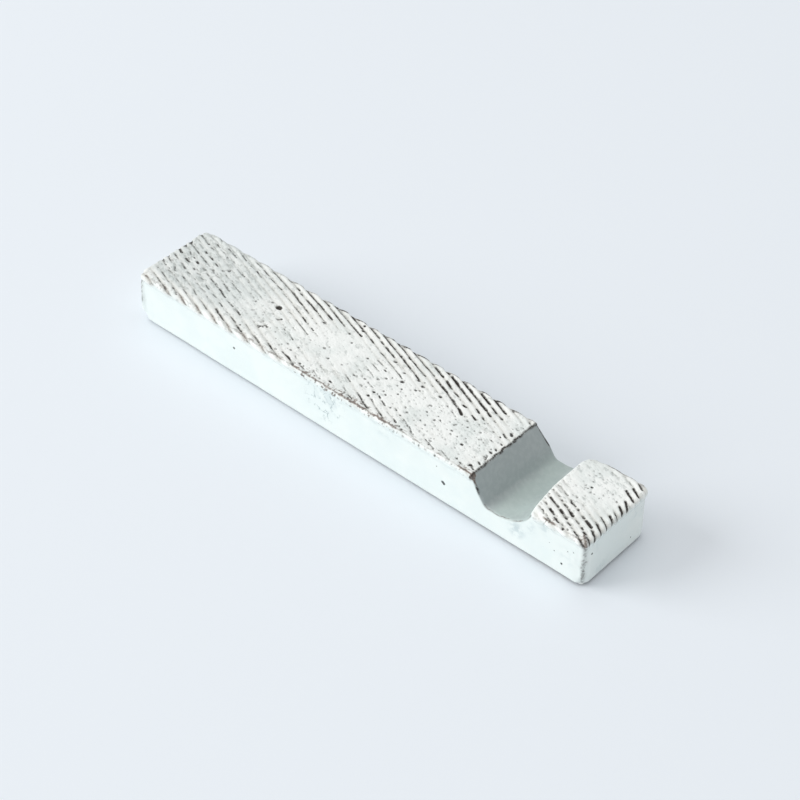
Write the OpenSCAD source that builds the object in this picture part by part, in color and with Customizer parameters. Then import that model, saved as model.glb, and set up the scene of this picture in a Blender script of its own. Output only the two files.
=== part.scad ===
// A fired clay chopstick rest. It is one bar with a long ridged deck, a notch for the tips of
// the chopsticks near its right end, and a short ridged block beyond the notch.
// Millimetres. Z is up, X runs along the bar towards the short block, and the origin is at the
// middle of the underside. The layers are bonded by the firing, and nothing moves.

/* [Bar] */
// Length of the bar
bar_len = 105; // [90:1:130]
// Width of the bar
bar_wide = 17.5; // [13:0.5:24]
// Height of the bar to the tops of its ridges
bar_high = 10.9; // [9.5:0.1:13]
// Radius of the upright corners, seen from above
corner_r = 2; // [1.2:0.1:3]
// Rounding of the bare clay along the foot
foot_r = 0.4; // [0.2:0.1:0.8]

/* [Notch] */
// Length of the short block beyond the notch, at its ridge tops
block_len = 12; // [8:0.5:18]
// Width of the notch at the ridge tops
notch_mouth = 12.3; // [11:0.1:16]
// Height of the notch's floor above the table
notch_floor = 5.4; // [4:0.1:6.5]
// Lean of the notch's straight wall from upright, in degrees
wall_lean = 33; // [15:1:40]
// Radius at the foot of the straight wall
foot_fillet = 1.2; // [0.6:0.1:1.6]
// Radius of the scoop that rises to the short block
scoop_r = 6.6; // [6:0.1:8]

/* [Ridges] */
// Distance from one ridge to the next, square to the ridges
ridge_pitch = 1.4; // [1.2:0.05:2]
// Height of the ridges above the clay deck
ridge_high = 0.45; // [0.35:0.05:0.6]
// Width of the clay that shows between two ridges
valley_wide = 0.3; // [0.2:0.05:0.5]
// Slant of the long deck's ridges from the bar's length, in degrees
long_slant = 22; // [15:0.5:30]
// Slant of the short block's ridges from the bar's length, in degrees
short_slant = 25.5; // [15:0.5:32]
// Distance of the first ridge of the long deck from the origin
long_start = 0.7; // [0:0.1:1.4]
// Distance of the first ridge of the short block from the origin
short_start = 0.3; // [0:0.1:1.4]

/* [Coats] */
// Thickness of the white slip on the ridges
slip_thick = 0.2; // [0.15:0.05:0.25]
// Thickness of the glaze on the walls and in the notch
glaze_thick = 0.35; // [0.25:0.05:0.5]
// Height of the bare clay foot below the glaze
bare_foot = 0.4; // [0.3:0.1:1]
// Radius of the glaze's rolled lower edge
hem_r = 0.8; // [0.6:0.05:1]

/* [Hidden] */
$fn = 64;
// How far a cutting shape runs past what it cuts
overrun = 1;
// How far the arc that rolls the ridges over the bar's edge passes above their tops
roll_over = 0.15;
// Steps in each arc of the notch's outline
arc_steps = 16;
// Level of the clay deck, from which the ridges rise
deck_z = bar_high - ridge_high;
// Radius of the roll at the ends of the ridges, about the deck's edge
roll_r = ridge_high + roll_over;
// Radius of a ridge that has the stated height and leaves the stated valley
ridge_half = (ridge_pitch - valley_wide) / 2;
ridge_r = (ridge_half * ridge_half + ridge_high * ridge_high) / (2 * ridge_high);
// The notch's lips at the ridge tops
block_lip_x = bar_len / 2 - block_len;
wall_lip_x = block_lip_x - notch_mouth;
// Centres of the notch's two arcs. A coat only changes their radii.
notch_deep = bar_high - notch_floor;
scoop_up = scoop_r - notch_deep;
scoop_at = [block_lip_x - sqrt(scoop_r * scoop_r - scoop_up * scoop_up), notch_floor + scoop_r];
lean_reach = (1 - sin(wall_lean)) / cos(wall_lean);
fillet_at = [wall_lip_x + notch_deep * tan(wall_lean) + foot_fillet * lean_reach, notch_floor + foot_fillet];
// Where the notch parts the long deck from the short block
parting_x = (fillet_at[0] + scoop_at[0]) / 2;

// Points along an arc, from one direction to another
function arc(at, r, from, to) =
    [for (i = [0:arc_steps]) at + r * [cos(from + (to - from) * i / arc_steps), sin(from + (to - from) * i / arc_steps)]];

// Distance of a point from the origin, square to ridges of this slant
function across(x, y, slant) = x * sin(slant) + y * cos(slant);

// Rectangle with four round corners
module soft_rect(long, wide, r) {
    square([long - 2 * r, wide], center = true);
    square([long, wide - 2 * r], center = true);
    for (x = [-1, 1], y = [-1, 1]) {
        translate([x * (long / 2 - r), y * (wide / 2 - r)])
            circle(r);
    }
}

// The bar's outline seen from above, drawn in by inset and carried up past everything
module plan_prism(inset) {
    translate([0, 0, -overrun])
        linear_extrude(bar_high + 2 * overrun)
            soft_rect(bar_len - 2 * inset, bar_wide - 2 * inset, corner_r - inset);
}

// The bar's outline with its edges rounded at the two heights low and high as well
module soft_block(inset, low, high, edge_r) {
    tall = high - low;
    intersection() {
        plan_prism(inset);
        translate([-bar_len / 2, 0, low + tall / 2])
            rotate([90, 0, 90])
                linear_extrude(bar_len)
                    soft_rect(bar_wide - 2 * inset, tall, edge_r);
        translate([0, bar_wide / 2, low + tall / 2])
            rotate([90, 0, 0])
                linear_extrude(bar_wide)
                    soft_rect(bar_len - 2 * inset, tall, edge_r);
    }
}

// A slab over the whole bar between two heights
module layer(low, high) {
    translate([-bar_len / 2 - overrun, -bar_wide / 2 - overrun, low])
        cube([bar_len + 2 * overrun, bar_wide + 2 * overrun, high - low]);
}

// The notch through the bar's width, made deeper and wider by grow on every side
module notch_cut(grow) {
    top = bar_high + overrun;
    wall_foot = fillet_at - (foot_fillet + grow) * [cos(wall_lean), sin(wall_lean)];
    wall_top = [wall_foot[0] - (top - wall_foot[1]) * tan(wall_lean), top];
    scoop_end = asin((top - scoop_at[1]) / (scoop_r + grow));
    outline = concat(
        [wall_top],
        arc(fillet_at, foot_fillet + grow, 180 + wall_lean, 270),
        arc(scoop_at, scoop_r + grow, 270, 360 + scoop_end)
    );
    translate([0, bar_wide / 2 + overrun, 0])
        rotate([90, 0, 0])
            linear_extrude(bar_wide + 2 * overrun)
                polygon(outline);
}

// Parallel round ridges of one radius between two corners of a deck
module ridge_rods(r, slant, start, low_corner, high_corner) {
    first = ceil((across(low_corner[0], low_corner[1], slant) - start) / ridge_pitch);
    last = floor((across(high_corner[0], high_corner[1], slant) - start) / ridge_pitch);
    for (i = [first:last]) {
        rotate([0, 0, -slant])
            translate([0, start + i * ridge_pitch, bar_high - ridge_r])
                rotate([0, 90, 0])
                    cylinder(h = 2 * bar_len, r = r, center = true);
    }
}

module long_rods(r) {
    ridge_rods(r, long_slant, long_start, [-bar_len / 2, -bar_wide / 2], [wall_lip_x, bar_wide / 2]);
}

module short_rods(r) {
    ridge_rods(r, short_slant, short_start, [block_lip_x, -bar_wide / 2], [bar_len / 2, bar_wide / 2]);
}

// The part of the bar on the long deck's side of the notch
module long_side() {
    translate([-bar_len / 2 - overrun, -bar_wide / 2 - overrun, 0])
        cube([bar_len / 2 + overrun + parting_x, bar_wide + 2 * overrun, bar_high + overrun]);
}

// The part of the bar on the short block's side of the notch
module short_side() {
    translate([parting_x, -bar_wide / 2 - overrun, 0])
        cube([bar_len / 2 + overrun - parting_x, bar_wide + 2 * overrun, bar_high + overrun]);
}

// Space in which the ridges stand, rolled over at the bar's edges
module ridge_space() {
    intersection() {
        soft_block(0, 0, deck_z + roll_r, roll_r);
        layer(deck_z, bar_high + overrun);
    }
}

// The clay inside the long deck's ridges
module long_clay_ridges() {
    difference() {
        intersection() {
            long_rods(ridge_r - slip_thick);
            plan_prism(glaze_thick);
            long_side();
        }
        notch_cut(glaze_thick);
    }
}

// The clay inside the short block's ridges
module short_clay_ridges() {
    difference() {
        intersection() {
            short_rods(ridge_r - slip_thick);
            plan_prism(glaze_thick);
            short_side();
        }
        notch_cut(glaze_thick);
    }
}

// Dark stoneware bar, bare at its foot and in the valleys of its decks
module clay_body() {
    color("#6a5546") {
        difference() {
            intersection() {
                soft_block(glaze_thick, 0, 2 * bar_high, foot_r);
                layer(0, deck_z);
            }
            notch_cut(glaze_thick);
        }
        long_clay_ridges();
        short_clay_ridges();
    }
}

// White slip over each ridge of the long deck
module long_deck_slip() {
    color("#f2f1ea")
        difference() {
            intersection() {
                long_rods(ridge_r);
                ridge_space();
                long_side();
            }
            long_clay_ridges();
            notch_cut(0);
        }
}

// White slip over each ridge of the short block
module short_deck_slip() {
    color("#f2f1ea")
        difference() {
            intersection() {
                short_rods(ridge_r);
                ridge_space();
                short_side();
            }
            short_clay_ridges();
            notch_cut(0);
        }
}

// Glaze round the sides and both ends, from above the foot to the decks
module wall_glaze() {
    color("#eef5f4")
        difference() {
            intersection() {
                soft_block(0, bare_foot, 2 * bar_high, hem_r);
                layer(0, deck_z);
            }
            plan_prism(glaze_thick);
            notch_cut(glaze_thick);
        }
}

// Glaze that lines the notch
module notch_glaze() {
    color("#b9c6c2")
        intersection() {
            soft_block(0, bare_foot, 2 * bar_high, hem_r);
            layer(0, deck_z);
            difference() {
                notch_cut(glaze_thick);
                notch_cut(0);
            }
        }
}

clay_body();
long_deck_slip();
short_deck_slip();
wall_glaze();
notch_glaze();
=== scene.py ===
import math

import bpy
import numpy as np
from mathutils import Matrix, Vector


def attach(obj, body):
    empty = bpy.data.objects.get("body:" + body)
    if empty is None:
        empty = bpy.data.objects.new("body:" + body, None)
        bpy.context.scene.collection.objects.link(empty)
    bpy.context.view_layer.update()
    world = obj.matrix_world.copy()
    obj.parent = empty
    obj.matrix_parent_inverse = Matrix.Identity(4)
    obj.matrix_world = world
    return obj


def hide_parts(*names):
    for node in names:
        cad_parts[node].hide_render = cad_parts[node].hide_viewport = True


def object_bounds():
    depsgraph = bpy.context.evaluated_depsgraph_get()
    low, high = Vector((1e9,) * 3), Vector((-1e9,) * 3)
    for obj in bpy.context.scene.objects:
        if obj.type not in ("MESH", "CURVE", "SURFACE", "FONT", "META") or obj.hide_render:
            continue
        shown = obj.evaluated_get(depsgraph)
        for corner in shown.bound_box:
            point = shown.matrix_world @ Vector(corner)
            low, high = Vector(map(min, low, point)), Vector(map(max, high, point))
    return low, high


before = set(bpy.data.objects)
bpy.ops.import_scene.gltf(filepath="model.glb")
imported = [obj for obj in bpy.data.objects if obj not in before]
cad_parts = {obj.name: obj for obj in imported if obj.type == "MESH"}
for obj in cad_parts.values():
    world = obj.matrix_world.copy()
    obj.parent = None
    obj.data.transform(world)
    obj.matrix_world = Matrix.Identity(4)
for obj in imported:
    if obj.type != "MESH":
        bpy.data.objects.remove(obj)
cadBox = [list(corner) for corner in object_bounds()]
metre = 0.001  # one millimetre in metres
print("frame loaded, CAD box", cadBox)


# Camera: the direction it looks from, its distance, and the point on the table that it looks at
camera = dict(
    azimuth=41.26, elevation=42.37, roll=0.33, distance=401.64, target=(-1.03, 6.27, 0.0),
    lens=99.67, sensor=36.0, nearest=10.0,
)


def makeCamera(values):
    turn, tilt, roll = (math.radians(values[key]) for key in ("azimuth", "elevation", "roll"))
    back = Vector((math.sin(turn) * math.cos(tilt), -math.cos(turn) * math.cos(tilt), math.sin(tilt)))
    level = Vector((math.cos(turn), math.sin(turn), 0.0))
    upright = back.cross(level)
    right = level * math.cos(roll) + upright * math.sin(roll)
    up = upright * math.cos(roll) - level * math.sin(roll)
    data = bpy.data.cameras.new("camera")
    data.lens = values["lens"]
    data.sensor_width = values["sensor"]
    data.clip_start = values["nearest"] * metre
    seen = bpy.data.objects.new("camera", data)
    bpy.context.collection.objects.link(seen)
    axes = Matrix((right, up, back)).transposed().to_4x4()
    place = (Vector(values["target"]) + back * values["distance"]) * metre
    seen.matrix_world = Matrix.Translation(place) @ axes
    bpy.context.scene.camera = seen


makeCamera(camera)
print("camera placed")


# The bar's own sizes. Its length, width and height come from the frame.
low, high = (np.array(corner) / metre for corner in cadBox)
bar = dict(
    length=high[0] - low[0], width=high[1] - low[1], height=high[2] - low[2],
    crest=0.26,          # how far the ridge tops stand above the even deck
    roll=0.55,           # radius of the rounded arris
    corner=2.0,          # radius of the upright corners
    blockLength=12.0, mouth=12.3, notchFloor=5.4, wallLean=33.0,
    wallLip=0.7, wallFoot=1.2, scoop=6.6, blockLip=0.9,
    lipOnBlock=0.6,      # share of the block's lip radius that lies past the block's edge
    coat=0.42,           # thickness of slip and glaze
    hem=0.54,            # radius of the glaze's lower edge
    hemTurn=52.0,        # degrees that the lower edge turns in through
    hemGap=0.14,         # how far above the bare foot's height it ends
    # height of the bare clay foot, along the bar
    bareFoot=[(-52, 0.2), (-10, 0.24), (20, 0.32), (40, 0.42), (46, 0.46), (52, 0.46)],
    footRoll=0.35,       # radius of the clay's own lower edge
    clayCorner=3.4,      # radius of the clay's upright corners, behind the glaze
)
deckLevel = bar["height"] - bar["crest"]
rollRun = bar["roll"] * math.pi / 2


# Seeds of the shape's noises
seeds = dict(
    wander=11, ragged=24, waver=25, patchy=27, grain=31, lump=33, coarse=35, swell=51, peel=52,
    slipThick=60, slipWander=61, slipStrength=62, brownPatch=66, cornerSag=67, cornerWaver=68,
    cornerThick=69, cornerSpeck=70, clayGrit=71, claySwell=72, rustSpeck=91,
)


def smoothStep(start, end, value):
    share = np.clip((value - start) / (end - start), 0, 1)
    return share * share * (3 - 2 * share)


def plateau(value, rise, fall):
    # 0, then a smooth rise to 1 between the first two places, then a smooth fall to 0 between the last two
    return smoothStep(*rise, value) * (1 - smoothStep(*fall, value))


def cellValue(column, row, seed):
    # A repeatable random number from 0 to 1 for each whole-numbered cell, from a hash of its place
    mixed = (column * 374761393 + row * 668265263 + seed * 1442695041).astype(np.int64) & 0xFFFFFFFF
    mixed = ((mixed ^ (mixed >> 13)) * 1274126177) & 0xFFFFFFFF
    mixed = ((mixed ^ (mixed >> 15)) * 2246822519) & 0xFFFFFFFF
    return ((mixed ^ (mixed >> 16)) & 0xFFFFFF) / 0xFFFFFF


def softNoise(x, y, size, seed):
    # Value noise: random numbers on a lattice of the given size, blended by a smooth curve
    u, v = x / size, y / size
    column, row = np.floor(u).astype(np.int64), np.floor(v).astype(np.int64)
    u, v = u - column, v - row
    u, v = u * u * (3 - 2 * u), v * v * (3 - 2 * v)
    lower = cellValue(column, row, seed) * (1 - u) + cellValue(column + 1, row, seed) * u
    upper = cellValue(column, row + 1, seed) * (1 - u) + cellValue(column + 1, row + 1, seed) * u
    return lower * (1 - v) + upper * v


def layeredNoise(x, y, size, seed, layers=3):
    # Several sizes of the noise above, each half as large and half as strong as the last
    total, weight = 0.0, 0.0
    for layer in range(layers):
        total = total + softNoise(x, y, size / 2 ** layer, seed + layer) / 2 ** layer
        weight += 1 / 2 ** layer
    return total / weight


def lineNoise(along, row, size, seed):
    # The soft noise along a line: one row of its lattice plane
    return softNoise(along, along * 0 + row, size, seed)


def fromList(x, points):
    return np.interp(x, [point[0] for point in points], [point[1] for point in points])


def bentPath(start, stretches, step=0.02):
    # A path in the XZ plane. Each stretch is a length and the angle that the path turns through along
    # it, so the direction is the running sum of the turns and the place that of the steps.
    directions, lengths = [], []
    heading = 0.0
    for length, turn in stretches:
        count = max(2, math.ceil(length / step))
        middle = (np.arange(count) + 0.5) / count
        directions.append(heading + turn * middle)
        lengths.append(np.full(count, length / count))
        heading += turn
    direction, length = np.concatenate(directions), np.concatenate(lengths)
    along = np.concatenate(([0], np.cumsum(length)))
    x = start[0] + np.concatenate(([0], np.cumsum(length * np.cos(direction))))
    z = start[1] + np.concatenate(([0], np.cumsum(length * np.sin(direction))))
    angle = np.interp(along, (along[1:] + along[:-1]) / 2, direction)
    return along, x, z, angle


def notchPath():
    # The bar's top edge seen from the side: deck, lip, leaning wall, fillet, floor, scoop, lip, deck.
    # The straight lengths follow from the levels that the curves have to join.
    lip, fillet, scoop, blockLip = (bar[key] for key in ("wallLip", "wallFoot", "scoop", "blockLip"))
    drop = deckLevel - bar["notchFloor"]
    turn = math.radians(90 - bar["wallLean"])
    climb = math.acos(1 - drop / (scoop + blockLip))
    wall = (drop - (lip + fillet) * (1 - math.cos(turn))) / math.sin(turn)
    blockEdge = bar["length"] / 2 - bar["blockLength"]
    wallEdge = blockEdge - bar["mouth"]
    deckStart = -bar["length"] / 2 + bar["roll"]
    deckEnd = bar["length"] / 2 - bar["roll"]
    lipStart = wallEdge + bar["crest"] * math.tan(math.radians(bar["wallLean"])) - lip * math.tan(turn / 2)
    lipEnd = blockEdge + blockLip * bar["lipOnBlock"]
    bends = (lip + fillet) * math.sin(turn) + (scoop + blockLip) * math.sin(climb)
    floor = lipEnd - lipStart - bends - wall * math.cos(turn)
    stretches = [
        (lipStart - deckStart, 0), (lip * turn, -turn), (wall, 0), (fillet * turn, turn), (floor, 0),
        (scoop * climb, climb), (blockLip * climb, -climb), (deckEnd - lipEnd, 0),
    ]
    names = ("deck", "lip", "wall", "fillet", "floor", "scoop", "blockLip", "block", "end")
    marks = dict(zip(names, np.concatenate(([0], np.cumsum([length for length, turned in stretches])))))
    margin = 3 * bar["roll"]
    stretches = [(margin, 0)] + stretches + [(margin, 0)]
    along, x, z, angle = bentPath((deckStart - margin, deckLevel), stretches)
    return (along - margin, x, z, angle), marks


# The path, and how far along it each stretch starts
path, pathMarks = notchPath()
print("notch path, stretches start at", [round(float(mark), 2) for mark in pathMarks.values()])


def onPath(along):
    return tuple(np.interp(along, path[0], values) for values in path[1:])


def rowShares(rows, crowd, rolled):
    # Shares from 0 to 1 for the rows. By a rolled end they grow with the square of the step up to the
    # share crowd, so that the rows stay even along the round corner, and past it they grow evenly.
    def fromStart(count, crowdShare):
        step = np.linspace(0, 1, count)
        share = np.where(step < 2 * crowdShare, step ** 2 / (4 * crowdShare), step - crowdShare)
        return share / share[-1]

    if rolled == (True, True):
        half = fromStart((rows + 1) // 2, crowd * 2) / 2
        return np.concatenate([half, 1 - half[-2::-1]])
    if rolled == (True, False):
        return fromStart(rows, crowd)
    if rolled == (False, True):
        return 1 - fromStart(rows, crowd)[::-1]
    return np.linspace(0, 1, rows)


def flatLayout(start, end, rolled, rows, columns, half, inner, reach):
    # A flat rectangle, round at the corners of its rolled ends, with rows along the bar and columns
    # across it. The inner outline is half wide each way and has the corner radius inner, and the layout
    # goes past it by reach. Each point gets its distance past the inner outline and its way outward,
    # both zero inside it.
    outer = inner + reach
    first = start - reach if rolled[0] else start
    last = end + reach if rolled[1] else end
    along = first + (last - first) * rowShares(rows, outer / (last - first), rolled)
    wide = np.full(rows, half + reach)
    for isRolled, depth in zip(rolled, (along - first, last - along)):
        if isRolled:
            near = np.clip(outer - depth, 0, outer)
            wide = np.minimum(wide, half + reach - outer + np.sqrt(outer ** 2 - near ** 2))
    across = np.linspace(-1, 1, columns)[None, :] * wide[:, None]
    along = np.repeat(along[:, None], columns, axis=1)
    alongOut = np.zeros_like(along)
    if rolled[0]:
        alongOut = alongOut + np.minimum(along - start - inner, 0)
    if rolled[1]:
        alongOut = alongOut + np.maximum(along - end + inner, 0)
    acrossOut = np.sign(across) * np.maximum(np.abs(across) - (half - inner), 0)
    away = np.hypot(alongOut, acrossOut)
    safe = np.where(away > 0, away, 1)
    return dict(
        along=along, across=across, past=np.maximum(away - inner, 0),
        outAlong=alongOut / safe, outAcross=acrossOut / safe,
    )


def rollOver(layout, radius):
    # A point past the inner outline by d goes round the arris: out by r sin(d/r) and down by
    # r (1 - cos(d/r)). Past a quarter turn it goes straight down.
    past = layout["past"]
    swing = np.minimum(past / radius, math.pi / 2)
    shift = radius * np.sin(swing) - past
    down = radius * (1 - np.cos(swing)) + np.maximum(past - radius * math.pi / 2, 0)
    along = layout["along"] + layout["outAlong"] * shift
    across = layout["across"] + layout["outAcross"] * shift
    return along, across, down, swing


# How the hand-cut bar strays from the true shape
strays = dict(
    # how far the upright corners stand out past a quarter round
    nearLeft=0.5, nearRight=0.4, farLeft=0.2, farRight=0.15,
    # the near left corner leans out, fully below the first level and no more above the second, and draws
    # in at the rim between two others
    leftLean=0.3, leanLevels=(1.5, 10.5), rimIn=0.4, rimLevels=(8.3, 10.3),
    # below these levels the corners' feet are cut back, less at the right end and at the far side
    footCut=1.2, leftFoot=3.2, rightFoot=2.9, rightCut=0.5, farCut=0.3,
    # place across the bar, then how far the notch wall runs out for its depth, down to leanDepth
    lean=[(-8.75, 0.53), (0, 0.72), (8.75, 1.06)], leanDepth=3.0,
    # place across the bar, then how far the block's lip is shifted along it or sunk
    lipShift=[
        (-8.9, 0.75), (-8, 0.45), (-6.5, 0.1), (-5, -0.1), (-1, -0.6), (6.6, -0.65), (7.8, -0.25),
        (8.9, 0.75),
    ],
    lipSink=[(-8.9, 0.45), (-7, 0.1), (-5, 0), (6, 0), (7.6, 0.18), (8.9, 0.6)],
    # the shift is full this far past the lip's start, and fades between these distances past its end
    shiftFull=0.2, shiftFade=(0.4, 4.0),
    # the sinking starts this far before the lip, and fades between these distances past its end
    sinkLead=0.4, sinkFade=(0.3, 2.6),
)


def cornerSwell(outAlong, outAcross, level):
    # How far a corner stands out at each level: most on its diagonal, leaning, and curving in at its foot
    left, nearSide = outAlong < 0, outAcross < 0
    near = np.where(left, strays["nearLeft"], strays["nearRight"])
    far = np.where(left, strays["farLeft"], strays["farRight"])
    diagonal = (2 * np.abs(outAlong * outAcross)) ** 4
    lean = strays["leftLean"] * left * nearSide * (1 - smoothStep(*strays["leanLevels"], level))
    lean = lean - strays["rimIn"] * left * nearSide * smoothStep(*strays["rimLevels"], level)
    tucked = np.clip(1 - level / np.where(left, strays["leftFoot"], strays["rightFoot"]), 0, 1) ** 2
    cut = strays["footCut"] * np.where(left, 1.0, strays["rightCut"])
    cut = cut * np.where(nearSide, 1.0, strays["farCut"]) * tucked
    return diagonal * ((np.where(nearSide, near, far) + lean) * (1 - tucked) - cut)


def handCut(along, across, place):
    # Shifts the notch wall and the block's lip along the bar, and sinks the lip's two ends
    lipStart, lipEnd = pathMarks["blockLip"], pathMarks["block"]
    depth = np.clip(deckLevel - place[..., 2], 0, strays["leanDepth"])
    lean = fromList(across, strays["lean"]) - math.tan(math.radians(bar["wallLean"]))
    onWall = 1 - smoothStep(pathMarks["fillet"], lipStart, along)
    shiftRise = pathMarks["scoop"], lipStart + strays["shiftFull"]
    shiftFall = [lipEnd + more for more in strays["shiftFade"]]
    lipShift = fromList(across, strays["lipShift"]) * plateau(along, shiftRise, shiftFall)
    place[..., 0] += lean * depth * onWall + lipShift
    sinkRise = lipStart - strays["sinkLead"], lipEnd
    sinkFall = [lipEnd + more for more in strays["sinkFade"]]
    place[..., 2] -= fromList(across, strays["lipSink"]) * plateau(along, sinkRise, sinkFall)


def topPatch(start, end, rolled, rows, columns):
    # A patch of the bar's top, from one place on the path to another and right across the bar: the flat
    # layout rolled over the arris, then carried along the path, square to its direction
    half = bar["width"] / 2 - bar["roll"]
    patch = flatLayout(start, end, rolled, rows, columns, half, bar["corner"] - bar["roll"], rollRun)
    along, across, down, swing = rollOver(patch, bar["roll"])
    x, z, angle = onPath(along)
    lift, lean = np.cos(swing), np.sin(swing)
    patch["place"] = np.stack([x + down * np.sin(angle), across, z - down * np.cos(angle)], -1)
    patch["normal"] = np.stack([
        -np.sin(angle) * lift + np.cos(angle) * lean * patch["outAlong"],
        lean * patch["outAcross"],
        np.cos(angle) * lift + np.sin(angle) * lean * patch["outAlong"],
    ], -1)
    handCut(patch["along"], across, patch["place"])
    swell = cornerSwell(patch["outAlong"], patch["outAcross"], patch["place"][..., 2])
    swell = swell * smoothStep(0, rollRun, patch["past"])
    patch["place"][..., 0] += patch["outAlong"] * swell
    patch["place"][..., 1] += patch["outAcross"] * swell
    return patch


# The ridges' courses. On the long deck their count grows along and across the bar, and bends with the
# squares of both. On the block it follows their slant in degrees, their pitch and the place of a valley.
courses = dict(
    along=0.2696, across=0.6605, bend=0.0004, spread=0.0029, start=-0.605,
    blockSlant=24.2, blockPitch=1.355, blockValley=17.52,
    wander=0.09, wanderSize=9.0, wanderSquash=2.2,
)
# The ridges' relief. Pairs are the two places between which something sets in.
ridges = dict(
    # depth of the valleys and what the edges add to it and to the crests, and the sag of worn places
    rise=0.13, edgeRise=0.17, edgeCrest=0.08, calmSink=0.05, valleyPower=2.2, groovePower=1.3,
    # lumps along each ridge, a fine grain and a coarse unevenness, each with its size
    lump=0.07, lumpSize=1.4, lumpGap=3.7, blockLumps=0.7, grain=0.085, grainSize=0.9,
    coarse=0.05, coarseSize=3.4, coarseSquash=1.6,
    leftLoss=0.4, leftFade=(-32, -42),       # lower towards the left end
    edgeBand=(2.6, 0.9),                     # distances in from the wall between which they grow
    nearStrip=(-4.5, -6.5),                  # where the near strip sets in, across the bar
    blockEnd=(50.4, 51.8),                   # stronger towards the block's end wall
    blockStart=(42.4, 40.9), blockNear=(1.5, -2.0), blockStartShare=0.7,  # and at its near lip
    farBlock=(51, 48), farBlockLoss=0.6,     # weaker along the block's far edge
    edgeOverCalm=0.7,                        # share of the calm that an edge takes away
    # they run out from this share of the rolled arris to this far past it
    crestRoll=0.9, lastCrest=1.0,
    # how far past the roll the marks fade on the near side, and from where to how far on the far one
    nearMarks=0.7, farMarks=(0.3, 0.4),
    # slip runs down the near wall by the ridges' gain less the first, and down the far one by the second
    slipLess=0.25, farSlip=0.3,
)
# How strongly the ridges run on to the near arris, along the bar
nearRidges = [
    (-52, 1.3), (-20, 1.2), (-15, 0.6), (-12, 0.05), (-3, 0.1), (-1, 0.45), (8, 0.45), (11, 0.1), (24, 0.05),
    (27, 0.4), (40, 0.6), (52, 0.8),
]
# Worn places where the slip lies smooth: x, y, reach along, reach across, strength
calmPlaces = [
    (-10.5, 0.0, 8.5, 5.8, 1.0), (-31, -1.5, 7.5, 4.0, 0.7), (2.5, -1.6, 8.5, 4.8, 0.95),
    (13, -1.8, 9, 4.9, 1.0), (21.5, -2.8, 6.5, 5.6, 1.0), (26.2, 7.2, 2.4, 3.6, 1.0),
    (-18, -3.2, 6.5, 4.4, 0.8), (46.5, 3.6, 7.0, 5.6, 1.0), (43.0, 6.5, 5.0, 4.6, 1.0),
]
calmFall = 0.8  # how steeply a worn place ends
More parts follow.
